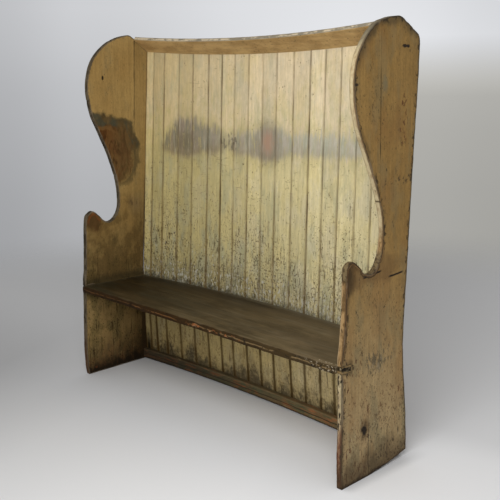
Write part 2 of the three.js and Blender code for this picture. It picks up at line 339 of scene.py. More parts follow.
def endSurface(f, z):
    # what both ends share: uneven ochre with long brush streaks, olive scuffs and dark flecks
    broad = f.noise(3.2, (1, 1, 0.5), 3, 0.5)
    streak = f.noise(110, (1, 1, 0.03), 4, 0.62, 3.0)
    mottle = f.noise(38, (1, 1, 0.6), 4, 0.65, 6.0)
    cloudy = f.noise(14, (1, 1, 0.6), 4, 0.62, 9.0)
    f.colour = f.blend(f.soft(broad, 0.35, 0.66), "ochre", "ochreDark")
    f.lay(f.soft(cloudy, 0.52, 0.74) * 0.4, "olive")
    patches = f.noise(7, (1, 1, 0.5), 4, 0.6, 15.0)
    fine = f.noise(140, (1, 1, 0.6), 3, 0.7, 17.0)
    f.vary(0.10 + streak * 0.45 + mottle * 0.45 + patches * 0.45 + fine * 0.45)
    low = f.fade(z, 0.0, 0.85)
    amount = 0.15 + low * 0.45 + (cloudy - 0.5) * 1.6
    specks = f.flecks(150, (1, 1, 0.7), amount, 12.0) * 0.75
    dashes = f.flecks(95, (1, 1, 0.10), amount * 0.8, 21.0, 0.05) * (0.25 + low * 0.35)
    marks = f.most(specks, dashes)
    f.lay(marks, "speck")
    height = streak * 0.35 + mottle * 0.15 - marks * 0.5
    return height, streak, mottle, cloudy, broad


leftEndPaint = {
    **endPaint,
    "edgeDark": (0.070, 0.056, 0.038),
    "dirt": (0.136, 0.100, 0.047),
    "moss": (0.118, 0.088, 0.030),
    "murk": (0.044, 0.025, 0.008),
    "scratches": (0.026, 0.014, 0.005),
    "pocks": (0.030, 0.017, 0.006),
    "foot": ((0.040, 0.022, 0.010), (0.060, 0.022, 0.009)),
    "toRear": (0.038, 0.019, 0.005),
    "remains": (0.190, 0.130, 0.052),
    "crumbs": (0.014, 0.008, 0.003),
    "ground": (0.010, 0.006, 0.003),
    "stains": (0.120, 0.040, 0.014),
    "ring": ((0.070, 0.046, 0.020), (0.036, 0.039, 0.028)),
    "lowRing": (0.078, 0.052, 0.019),
    "wood": ((0.034, 0.012, 0.003), (0.135, 0.066, 0.021)),
    "ruddy": (0.110, 0.033, 0.011),
    "faded": (0.120, 0.080, 0.026),
    "upperWood": (0.112, 0.043, 0.010),
    "rearWood": (0.118, 0.076, 0.029),
    "verge": (0.066, 0.050, 0.023),
    "brink": (0.165, 0.088, 0.030),
    "smudge": (0.165, 0.112, 0.062),
    "stabs": (0.060, 0.038, 0.018),
    "arm": (0.056, 0.024, 0.008),
    "hump": (0.170, 0.055, 0.016),
    "pit": (0.02, 0.014, 0.008),
    "seatLine": (0.034, 0.026, 0.012),
    "wallShade": (0.030, 0.018, 0.008),
    "rim": ((0.030, 0.022, 0.012), (0.100, 0.078, 0.048)),
    "redRim": (0.085, 0.034, 0.014),
    "seam": (0.020, 0.014, 0.008),
}


def makeLeftEndPaint():
    # its inner face carries a large worn patch, dirt by the seat and a dark foot
    f = newFinish("leftEndPaint", leftEndPaint)
    y, z = f.y + bench["middleY"], f.z
    edge, rim = f.mark("edge"), f.mark("rim")
    height, streak, mottle, cloudy, broad = endSurface(f, z)
    drift, grit = cloudy - 0.5, mottle - 0.5
    inner = f.soft(f.x, -0.799, -0.796)
    armZone = f.soft(z, 0.42, 0.46) * f.fade(z + drift * 0.5, 0.72, 1.00)
    footZone = f.fade(z, 0.41, 0.43)
    # the part between arm and seat and the foot are dark with dirt and scratches
    dirt = f.fade(z + (broad - 0.5) * 0.7 + drift * 0.2, 0.35, 0.98) * f.most(inner, 0.6)
    f.vary(1 - dirt * 0.12)
    f.lay(dirt * 0.42, "dirt")
    f.vary(1 + footZone * inner * 0.36)
    f.vary(1 - f.soft(y - z * 0.0466, 0.261, 0.263) * inner * 0.14)
    f.lay(f.soft(cloudy, 0.44, 0.56) * dirt * 0.6, "moss")
    murk = f.soft(f.noise(7, (1, 1, 0.8), 5, 0.66, 35.0) + grit * 0.3, 0.47, 0.62) * f.most(inner, 0.7)
    f.lay(murk * (armZone * 0.50 + footZone * 0.15), "murk")
    scratches = f.flecks(120, (1, 1, 0.06), 0.80 + drift * 3, 31.0, 0.07, 3) * dirt
    f.lay(scratches * 0.72, "scratches")
    f.lay(f.flecks(75, (1, 1, 0.8), 0.40 + drift * 2.0, 36.0, 0.05, 4) * dirt * 0.6, "pocks")
    # the foot darkens down and to the back, and its base is nearly black
    falls = z + drift * 0.12 + grit * 0.05
    toBase = f.fade(falls - y * 0.20, 0.0, 0.17) * footZone * inner
    f.lay(toBase * 0.75, f.choose(f.soft(mottle, 0.45, 0.58), "foot"))
    f.lay(f.soft(y + drift * 0.15, 0.16, 0.33) * footZone * inner * 0.32, "toRear")
    remains = f.flecks(110, (1, 1, 0.25), 0.85 + drift * 1.5, 38.0, 0.06, 4) * footZone * inner
    f.lay(remains * (1 - f.soft(y, 0.10, 0.30) * 0.6) * 0.55, "remains")
    crumbs = f.flecks(170, (1, 1, 0.6), 0.75 + drift * 2.0, 39.0, 0.03, 3) * dirt
    crumbs = crumbs * f.most(footZone, f.fade(z + drift * 0.3, 0.47, 0.70))
    f.lay(crumbs * 0.75, "crumbs")
    # painted shade on the top of the foot, just under the seat
    underSeat = f.soft(z + drift * 0.05, 0.345, 0.415) * footZone * inner
    f.vary(1 - underSeat * 0.50)
    f.lay(f.fade(z + grit * 0.09 - y * 0.03, 0.008, 0.070) * 0.92, "ground")
    stains = f.flecks(34, (1, 1, 0.6), 0.85, 33.0, 0.10, 4) * f.fade(z, 0.03, 0.09)
    f.lay(stains * f.fade(y, 0.05, 0.20) * inner * 0.8, "stains")
    # the patch: brown wood with curling grain in the middle, blue-grey round its top and right
    curl = f.noise(24, (1, 1, 0.40), 5, 0.62, 45.0, 1.6)
    hair = f.noise(90, (1, 1, 0.25), 4, 0.68, 46.0, 0.8)
    oval = f.oval(y, z + (y - 0.1) * 0.20, (0.100, 1.093), (0.232, 0.172), 4)
    oval = oval + (f.noise(12, (1, 1, 0.8), 4, 0.6, 41.0) - 0.5) * 0.40 + grit * 0.10
    upper = f.soft(z + y * 0.3 + drift * 0.1, 1.10, 1.20)
    halo = f.fade(oval, 0.91, 1.02) * inner
    atRear = f.soft(y, 0.14, 0.26)
    core = f.fade(oval + upper * (0.23 - atRear * 0.16) + grit * 0.25, 0.82, 0.94) * inner
    ring = f.choose(f.soft(cloudy, 0.44, 0.54), "ring")
    ring = f.blend(upper, "lowRing", ring)
    f.lay(halo * (0.44 + upper * 0.46), f.shade(ring, 0.1 + mottle * 1.8))
    wood = f.choose(f.soft(curl * 0.6 + hair * 0.4, 0.42, 0.54), "wood")
    ruddy = f.soft(f.noise(15, (1, 1, 0.5), 4, 0.62, 47.0, 1.0), 0.50, 0.62)
    faded = f.soft(f.noise(40, (1, 1, 0.3), 4, 0.65, 48.0, 1.0), 0.52, 0.62)
    wood = f.blend(ruddy * 0.6, wood, "ruddy")
    wood = f.blend(faded * 0.45, wood, "faded")
    orange = f.soft(z - y * 0.5 + drift * 0.2, 0.99, 1.12)
    wood = f.blend(orange * 0.7, wood, f.shade("upperWood", 0.4 + curl * 1.2))
    wood = f.blend(atRear * 0.55, wood, f.shade("rearWood", 0.3 + curl * 1.4))
    f.lay(core * 0.96, wood)
    verge = f.soft(oval, 0.89, 0.93) * f.fade(oval, 0.97, 1.04) * inner * atRear * f.soft(z, 0.85, 0.93)
    f.lay(verge * 0.60, "verge")
    brink = f.soft(oval, 0.54, 0.58) * f.fade(oval, 0.63, 0.67) * inner * upper
    f.lay(brink * f.fade(y, 0.17, 0.22) * 0.6, "brink")
    # a smudge behind the hollow
    smudge = f.spot(y, z, (0.310, 0.800), (0.055, 0.060), 0.3, 1.2, drift * 2.0)
    stabs = f.flecks(80, (1, 1, 0.3), 0.95, 49.0, 0.05, 4) * smudge * inner
    f.lay(smudge * inner * 0.35, "smudge")
    f.lay(stabs * 0.5, "stabs")
    # dark red wear on the hump of the arm, brighter along its edge
    arm = f.spot(y, z, (0.050, 0.755), (0.080, 0.070), 0.40, 1.15, drift * 2.4)
    f.lay(arm * inner * 0.80, f.shade("arm", 0.2 + mottle * 1.6))
    nearEdge = f.stripe(edge - 0.010 + grit * 0.03, 0.001, 0.007)
    hump = f.spot(y, z, (0.060, 0.772), (0.075, 0.045), 0.6, 1.1, drift) * inner
    f.lay(nearEdge * hump * 0.75, "hump")
    f.lay(f.spot(y, z, (0.148, 1.420), (0.006, 0.011), 0.7, 1.2) * inner, "pit")
    # crusts of dirt on the seat line, and painted shade in the corner by the matchboards
    lift = z - 0.444 + grit * 0.05 + drift * 0.04
    f.lay(f.fade(lift, 0.006, 0.045) * f.soft(z, 0.43, 0.44) * inner * 0.75, "seatLine")
    # painted shade: a dark line along the corner with the matchboards, weaker higher up
    wallShade = f.fade(f.wallGap(-bench["innerHalf"], y, z) + grit * 0.012, 0.001, 0.009) * inner
    f.lay(wallShade * (0.75 - f.soft(z, 0.70, 1.00) * 0.55), "wallShade")
    height = height - halo * 0.4 + core * (curl - 0.5) * 0.8
    # worn arrises and a dark rim
    ragged = edge + (f.noise(70, detail=4, rough=0.65, shift=81.0) - 0.5) * 0.014
    worn = f.fade(ragged, 0.0018, 0.0045)
    f.lay(worn * 0.85, f.blend(f.soft(cloudy, 0.4, 0.62), "edgeDark", "bare"))
    rimColour = f.choose(f.soft(mottle, 0.42, 0.58), "rim")
    rimColour = f.blend(f.fade(z, 0.05, 0.30) * 0.6, rimColour, "redRim")
    f.lay(rim, f.shade(rimColour, 0.7 + streak * 0.6))
    seam = f.fade(f.mark("seam") + grit * 0.006, 0.0006, 0.0026)
    seam = seam * f.soft(z + drift * 0.4, 1.15, 1.28)
    f.lay(seam * 0.95, "seam")
    return f.done(0.50 + mottle * 0.2 + worn * 0.1, height - worn * 0.5)


rightEndPaint = {
    **endPaint,
    "ochreHigh": (0.245, 0.142, 0.043),
    "ochreLow": (0.365, 0.268, 0.140),
    "cream": (0.49, 0.40, 0.235),
    "grime": (0.042, 0.032, 0.020),
    "green": (0.185, 0.160, 0.088),
    "ruddy": (0.215, 0.105, 0.034),
    "redSpeck": (0.085, 0.030, 0.014),
    "pale": (0.38, 0.30, 0.17),
    "smudge": (0.066, 0.050, 0.026),
    "frontRim": (0.075, 0.048, 0.022),
    "nicks": (0.030, 0.020, 0.011),
    "spots": (0.085, 0.028, 0.014),
    "patch": (0.150, 0.145, 0.095),
    "lump": (0.050, 0.032, 0.018),
    "armStain": (0.120, 0.062, 0.025),
    "corner": (0.050, 0.030, 0.013),
    "split": (0.02, 0.014, 0.01),
    "holeEdge": (0.090, 0.050, 0.020),
    "hole": (0.014, 0.010, 0.007),
    "knot": (0.03, 0.02, 0.013),
    "rubbed": (0.070, 0.060, 0.040),
    "bright": (0.330, 0.260, 0.160),
    "brown": ((0.235, 0.132, 0.052), (0.115, 0.060, 0.024)),
    "dark": (0.040, 0.028, 0.016),
    "arris": (0.040, 0.030, 0.018),
    "strip": (0.070, 0.052, 0.030),
    "brownRim": ((0.325, 0.205, 0.090), (0.126, 0.074, 0.028)),
    "paleRim": (0.390, 0.275, 0.145),
    "creamRim": (0.330, 0.235, 0.125),
    "redRim": ((0.300, 0.180, 0.100), (0.130, 0.045, 0.022)),
    "rimFlecks": (0.035, 0.025, 0.015),
    "arrises": ((0.045, 0.032, 0.019), (0.105, 0.058, 0.024)),
    "armTop": ((0.022, 0.014, 0.007), (0.165, 0.120, 0.060)),
    "blackened": (0.016, 0.011, 0.006),
    "farRim": (0.095, 0.082, 0.058),
    "seam": (0.022, 0.012, 0.004),
    "ground": (0.058, 0.036, 0.018),
    "base": (0.024, 0.016, 0.009),
}
# Where cracks stand on the foot and how high they reach, and the two ends of each split that
# crosses the face at the height of the arm
footCracks = [(0.143, 0.228), (0.250, 0.176)]
splits = [((0.112, 0.727), (0.210, 0.735)), ((0.254, 0.706), (0.336, 0.711))]


def makeRightEndPaint():
    # its outer face is yellower and speckled, with cracks, a hole in the foot and a worn front edge
    f = newFinish("rightEndPaint", rightEndPaint)
    y, z = f.y + bench["middleY"], f.z
    edge, rim = f.mark("edge"), f.mark("rim")
    height, streak, mottle, cloudy, broad = endSurface(f, z)
    drift, grit = cloudy - 0.5, mottle - 0.5
    low = f.fade(z, 0.0, 0.85)
    outer = f.soft(f.x, 0.803, 0.808)
    fine = f.noise(150, (1, 1, 0.7), 3, 0.7, 49.0)
    yellow = f.blend(f.soft(z + (broad - 0.5) * 0.4, 0.15, 0.85), "ochreLow", "ochreHigh")
    f.lay(0.78, f.shade(yellow, -0.05 + streak * 0.6 + fine * 0.8 + mottle * 0.7))
    green = f.soft(f.noise(11, (1, 1, 0.4), 5, 0.65, 50.0), 0.47, 0.62)
    f.lay(green * (0.30 + low * 0.25), "green")
    f.lay(f.soft(f.noise(8, (1, 1, 0.5), 4, 0.6, 52.0), 0.48, 0.62) * 0.30, "ruddy")
    dust = f.flecks(150, (1, 1, 0.6), 0.35 + drift * 2.4 + low * 0.55, 51.0)
    chips = f.flecks(62, (1, 1, 0.5), 0.18 + low * 0.49 + drift, 53.0, 0.04, 3)
    speck = f.blend(f.soft(broad, 0.45, 0.55), "speck", "redSpeck")
    f.lay(f.most(dust * 0.6, chips * 0.8), speck)
    f.lay(f.flecks(90, (1, 1, 0.5), low * 0.7, 57.0, 0.05) * low * 0.6, "pale")
    # smudges below the top rim, a brown stain round the arm and the dark rear strip
    smudge = f.fade(edge + drift * 0.14, 0.004, 0.034) * f.soft(z, 1.43, 1.54) * outer
    f.lay(smudge * 0.62, "smudge")
    frontRim = f.fade(edge + drift * 0.05, 0.002, 0.016) * f.fade(y, 0.20, 0.26) * outer
    f.lay(frontRim * 0.5, "frontRim")
    nicks = f.flecks(70, (1, 1, 0.7), 1.10, 65.0, 0.04, 4) * f.fade(edge, 0.008, 0.020) * outer
    f.lay(nicks * 0.85, "nicks")
    # reddish dark spots in a column behind, a grey-green patch by the seam
    column = f.oval(y, z, (0.330, 1.260), (0.026, 0.110))
    spots = f.flecks(48, (1, 1, 0.7), 1.15, 62.0, 0.05, 4) * f.fade(column, 0.7, 1.1) * outer
    f.lay(spots * 0.8, "spots")
    patch = f.spot(y, z, (0.225, 1.375), (0.020, 0.045), 0.3, 1.0, grit * 1.6) * outer
    f.lay(patch * 0.5, "patch")
    lump = f.stripe(z - 1.042 + drift * 0.06, 0.006, 0.022)
    lump = lump * f.flecks(60, (1, 1, 1), 1.2, 63.0, 0.05, 4) * outer * f.soft(y, 0.24, 0.28)
    f.lay(lump * 0.8, "lump")
    armStain = f.spot(y, z, (0.120, 0.740), (0.200, 0.060), 0.5, 1.15, drift * 1.3)
    f.lay(armStain * outer * 0.50, "armStain")
    corner = f.spot(y, z, (0.030, 0.735), (0.050, 0.075), 0.3, 1.15, drift * 1.6)
    f.lay(corner * outer * 0.85, f.shade("corner", mottle * 2))
    for crackY, top in footCracks:
        bend = (f.noise(9, (0, 0, 1), 2, 0.5, crackY * 50) - 0.5) * 0.010
        line = f.stripe(y - crackY + bend, 0.0006, 0.0024)
        line = line * f.fade(z, top - 0.05, top) * outer
        f.lay(line * 0.9, "grime")
        height = height - line
    for (fromY, fromZ), (toY, toZ) in splits:
        slope = (toZ - fromZ) / (toY - fromY)
        line = f.stripe(z - fromZ - (y - fromY) * slope + drift * 0.006, 0.0015, 0.005)
        line = line * f.soft(y, fromY - 0.01, fromY + 0.01) * f.fade(y, toY - 0.012, toY + 0.01) * outer
        f.lay(line, "split")
        height = height - line * 2
    hole = f.oval(y, z, (0.121, 0.181), (0.021, 0.030)) + (f.noise(60, detail=3, shift=55.0) - 0.5) * 1.4
    f.lay(f.fade(hole, 0.8, 1.7) * outer * 0.6, "holeEdge")
    hole = f.fade(hole, 0.5, 1.0) * outer
    f.lay(hole * 0.95, "hole")
    knot = f.spot(y, z, (0.073, 1.378), (0.011, 0.006), 0.5, 1.2) * outer
    nick = f.oval(y, z, (0.342, 1.507), (0.030, 0.006)) + (f.noise(60, detail=3, shift=56.0) - 0.5) * 3.0
    nick = f.fade(nick, 0.5, 1.0) * outer
    f.lay(f.most(knot, nick), "knot")
    # a generic scuff where the finish has been scraped beside the seat
    rough = f.noise(75, (1, 1, 0.5), 4, 0.7, 61.0) - 0.5
    rubbed = f.spot(y, z, (0.195, 0.420), (0.115, 0.060), 0.20, 0.50, rough * 3.8) * outer
    f.lay(rubbed * 0.70, "rubbed")
    rough = f.noise(90, (1, 1, 0.4), 4, 0.7, 64.0) - 0.5
    bright = f.spot(y, z, (0.200, 0.400), (0.120, 0.070), -0.10, 0.20, rough * 4.0)
    f.lay(bright * outer * 0.5, "bright")
    height = height - hole * 3 - nick * 2
    # the front arris above the seat is rubbed brown for a finger's width, with a dark line inside it
    above = f.soft(z, 0.432, 0.442)
    ragged = edge + (f.noise(55, (1, 1, 0.5), 4, 0.65, 81.0) - 0.5) * 0.012
    front = f.fade(y, 0.20, 0.26)
    arm = f.soft(z + grit * 0.02, 0.455, 0.470) * outer * front * f.fade(z, 0.80, 0.86)
    wide = f.fade(ragged, 0.004, 0.009) * arm
    dark = f.stripe(ragged - 0.008, 0.001, 0.004) * arm * f.soft(cloudy, 0.42, 0.52)
    brown = f.choose(f.soft(mottle, 0.40, 0.58), "brown")
    f.lay(wide * 0.80, brown)
    f.lay(dark * 0.8, "dark")
    notch = f.spot(y, z, (0.024, 0.426), (0.034, 0.026), 0.9, 1.2, power=4)
    worn = f.fade(ragged + grit * 0.010, 0.0012, 0.0036) * (1 - notch * 0.75)
    f.lay(worn * 0.85, f.blend(f.soft(cloudy, 0.48, 0.62), "arris", "bare"))
    strip = f.fade(edge + grit * 0.012, 0.004, 0.010) * f.soft(y, 0.28, 0.33)
    f.lay(strip * outer * 0.5, "strip")
    # the rim: cream wood, reddish and chipped low down, dark at the outer arris and round the arm
    chipped = f.noise(34, (1, 1, 0.5), 5, 0.68, 72.0)
    brownRim = f.choose(f.soft(chipped, 0.42, 0.60), "brownRim")
    brownRim = f.blend(f.soft(0.7935 - f.x + grit * 0.006, 0.0, 0.002), brownRim, "paleRim")
    creamRim = f.blend(f.soft(chipped, 0.46, 0.64), "cream", "creamRim")
    redRim = f.choose(f.soft(chipped, 0.42, 0.58), "redRim")
    rimColour = f.blend(f.soft(z + drift * 0.3, 0.12, 0.34), redRim, creamRim)
    rimColour = f.blend(above * f.fade(z, 0.83, 0.90), rimColour, brownRim)
    amount = 0.95 - above * 0.15 - f.soft(z, 0.85, 0.95) * 0.5
    rimColour = f.blend(f.flecks(60, (1, 1, 0.35), amount, 73.0, 0.06, 4), rimColour, "rimFlecks")
    # painted shade on the rim's arrises, and above the seat along its outer side
    arrises = f.soft(f.size(f.x - 0.7970 + grit * 0.008), 0.0040, 0.0090)
    shadowed = f.most(arrises * (0.8 - above * 0.35), f.soft(f.x + grit * 0.006, 0.8035, 0.8065) * above)
    rimColour = f.blend(shadowed * 0.85, rimColour, f.choose(above, "arrises"))
    armTop = f.spot(y, z, (0.100, 0.770), (0.125, 0.060), 0.85, 1.15, drift * 0.4)
    curl = f.noise(48, (1, 1, 0.7), 4, 0.7, 77.0)
    curl = f.choose(f.soft(curl, 0.44, 0.60), "armTop")
    rimColour = f.blend(armTop * 0.9, rimColour, curl)
    blackened = f.flecks(42, (1, 1, 0.3), 0.80, 74.0, 0.06, 4) * (1 - above)
    blackened = blackened + f.flecks(50, (1, 1, 0.6), 1.25, 75.0, 0.06, 4) * f.stripe(z - 0.41, 0.02, 0.07)
    rimColour = f.blend(blackened * 0.9, rimColour, "blackened")
    far = f.most(f.soft(y, 0.28, 0.34), f.soft(z, 1.46, 1.56))
    rimColour = f.blend(far * 0.80, rimColour, "farRim")
    f.lay(rim, f.shade(rimColour, (0.61 + above * 0.09) + streak * 0.55))
    seam = f.fade(f.mark("seam") + drift * 0.004, 0.0008, 0.0024)
    seam = seam * (0.12 + f.soft(z, 1.10, 1.17) * f.fade(z, 1.39, 1.45))
    f.lay(seam, "seam")
    f.lay(f.fade(z + drift * 0.20 + grit * 0.08 - 0.03, 0.0, 0.12) * 0.72, "ground")
    f.lay(f.fade(z + grit * 0.05, 0.004, 0.018) * 0.75, "base")
    return f.done(0.50 + mottle * 0.2 + worn * 0.1, height - worn * 0.5 - wide * 0.2)


# ---- the two ends

ends = {
    "thickness": 0.023,
    "arris": 0.0032,
    "seamArris": 0.0005,
    "floorArris": 0.0012,
    "gridStep": 0.012,
    "outlineStep": 0.005,
    "dentDepth": 0.0011,
    "seamGap": 0.0003,
    "onSeam": 0.0008,
    "hollow": 0.00025,
    "deepest": 0.0006,
    "armBoardTop": 0.88,
}

# Outlines in mm, from the front of the feet and from the floor
leftShape = {
    "footFront": [(1, 0), (-2, 8), (-7, 45), (-9.5, 125), (-7.5, 210), (-4, 300), (-0.5, 400), (0, 441)],
    "underside": [(366, 0)],
    "armFront": [(0, 441), (1, 470), (7.5, 520), (12, 600), (15.5, 680), (20, 750)],
    "wing": [
        (29, 778), (60, 794), (97, 767), (119, 744), (150, 733), (184, 750), (209, 798), (211, 880),
        (195, 963), (161, 1064), (116, 1166), (78, 1255), (61, 1360), (74, 1452), (110, 1521), (170, 1576),
        (238, 1609), (298, 1622),
    ],
    "peak": [(298, 1622), (312, 1622.8), (325, 1613)],
}
rightShape = {
    "footFront": [
        (-2, 0), (-4, 6), (-4.5, 45), (-5, 124), (-2.5, 165), (0, 215), (1, 300), (1, 400), (0, 441),
    ],
    "underside": [(366, 26), (320, 18), (260, 9), (200, 4), (140, 0)],
    "armFront": [(0, 441), (1, 470), (9, 520), (17, 600), (21, 680), (24, 750)],
    "wing": [
        (29, 778), (60, 791), (96, 765), (118, 743), (150, 734), (184, 750), (211, 797), (220, 880),
        (206, 966), (166, 1066), (118, 1168), (79, 1256), (62, 1360), (74, 1452), (112, 1519), (170, 1575),
        (240, 1600), (300, 1608),
    ],
    "peak": [(300, 1608), (314, 1608), (327, 1601)],
}
rearCurve = [
    (360, 200), (346, 350), (343, 460), (348, 550), (364, 740), (381, 969), (398, 1180), (415, 1370),
]
# Each end's seam: where it would meet the floor, and how far it leans back as it rises
seams = {"left": (0.262, 0.0466), "right": (0.202, 0.0)}


def throughPoints(points, steps=24):
    # a smooth curve through the points: each stretch is a cubic that leaves and meets the points
    # in the direction from the one before to the one after. It comes back evenly spaced.
    p = np.array([points[0], *points, points[-1]], float)
    t = (np.arange(steps) / steps)[:, None, None]
    before, start, end, after = (p[k:len(p) - 3 + k][None] for k in range(4))
    leave, meet = (end - before) / 2, (after - start) / 2
    curve = (
        (2 * start - 2 * end + leave + meet) * t ** 3
        + (3 * end - 3 * start - 2 * leave - meet) * t ** 2
        + leave * t
        + start
    )
    curve = np.concatenate([curve.transpose(1, 0, 2).reshape(-1, 2), p[-1:]])
    length = np.concatenate([[0], np.cumsum(np.hypot(*np.diff(curve, axis=0).T))])
    even = np.linspace(0, length[-1], round(length[-1] / 1000 / ends["outlineStep"]) + 1)
    return np.column_stack([np.interp(even, length, curve[:, k]) for k in (0, 1)])


def roundedCorner(start, corner, end, steps=5):
    t = (np.arange(steps + 1) / steps)[:, None]
    return (1 - t) ** 2 * np.array(start) + 2 * t * (1 - t) * np.array(corner) + t ** 2 * np.array(end)


def endOutline(shape):
    # once round an end: up the front with the notch for the seat, over the top and down the back
    seatLow, seatHigh, notch = 412.2, 439.5, 46.4
    front = throughPoints(shape["footFront"])
    parts = [
        front[front[:, 1] < seatLow - 3],
        [(0, seatLow), (notch, seatLow - 0.6), (notch, seatHigh - 0.6), (0, seatHigh)],
        throughPoints(shape["armFront"])[1:],
        throughPoints([shape["armFront"][-1], *shape["wing"]])[1:],
        roundedCorner(*shape["peak"])[1:],
        roundedCorner((412, 1551), (424, 1543), (424, 1514)),
        throughPoints([(366, 80), *rearCurve, (424, 1514)])[::-1][1:],
        shape["underside"],
    ]
    return np.concatenate([np.array(part, float) for part in parts]) / 1000


def evenly(loop, step):
    # the same closed line with its points about one step apart, corners kept
    points = []
    for a, b in zip(loop, np.roll(loop, -1, 0)):
        count = max(1, round(float(np.hypot(*(b - a))) / step))
        points.append(a + (b - a) * (np.arange(count) / count)[:, None])
    return np.concatenate(points)


def acrossSeam(name, points):
    # how far points lie behind an end's seam, below zero in front of it
    foot, lean = seams[name]
    return (points[:, 0] - foot - lean * points[:, 1]) / math.hypot(1, lean)


def seamGap(name, points):
    return np.abs(acrossSeam(name, points)) - ends["seamGap"] / 2


def clipLoop(loop, values):
    # keeps the points of a closed line whose value is above zero, with new points where it crosses
    points, crossings = [], []
    for i in range(len(loop)):
        j = (i + 1) % len(loop)
        if values[i] >= 0:
            points.append(loop[i])
        if (values[i] >= 0) != (values[j] >= 0):
            crossings.append(loop[i] + (loop[j] - loop[i]) * values[i] / (values[i] - values[j]))
            points.append(crossings[-1])
    points, crossings = np.array(points), np.array(crossings)
    gap = np.hypot(*(points[:, None] - crossings).transpose(2, 0, 1)).min(1)
    return points[(gap == 0) | (gap > 0.0022)]


def turning(loop):
    # 1 for a closed line that runs anticlockwise and -1 for a clockwise one, from its area's sign
    ahead = np.roll(loop, -1, 0)
    return np.sign(np.sum(loop[:, 0] * ahead[:, 1] - loop[:, 1] * ahead[:, 0]))


def outwardNormals(loop):
    # the mean of the two neighbouring sides' normals, drawn out at a corner so that an inset
    # keeps its depth
    ahead = np.roll(loop, -1, 0) - loop
    ahead /= np.hypot(*ahead.T)[:, None]
    behind = np.roll(ahead, 1, 0)
    turn = turning(loop)
    n1 = np.stack([ahead[:, 1], -ahead[:, 0]], -1) * turn
    n2 = np.stack([behind[:, 1], -behind[:, 0]], -1) * turn
    mean = n1 + n2
    mean /= np.maximum(np.hypot(*mean.T), 1e-6)[:, None]
    lengthening = 1 / np.maximum((mean * n1).sum(-1), 0.6)
    return mean * lengthening[:, None]


def lineDistance(points, line, sides=slice(None)):
    # shortest distance from each point to the sides of a closed line
    best = np.full(len(points), 9.0)
    a, b = line[sides], np.roll(line, -1, 0)[sides]
    ab = b - a
    length = np.maximum((ab ** 2).sum(-1), 1e-12)
    for chunk in range(0, len(points), 2000):
        p = points[chunk:chunk + 2000, None]
        t = np.clip(((p - a) * ab).sum(-1) / length, 0, 1)
        gap = p - a - ab * t[..., None]
        best[chunk:chunk + 2000] = np.sqrt((gap ** 2).sum(-1).min(-1))
    return best


def insideLoop(points, loop):
    # counts how often a ray from each point crosses the loop
    x, y = points[:, 0, None], points[:, 1, None]
    a, b = loop, np.roll(loop, -1, 0)
    spans = (a[:, 1] > y) != (b[:, 1] > y)
    height = np.where(b[:, 1] == a[:, 1], 1e-12, b[:, 1] - a[:, 1])
    cross = (b[:, 0] - a[:, 0]) * (y - a[:, 1]) / height + a[:, 0]
    return ((x < cross) & spans).sum(-1) % 2 == 1


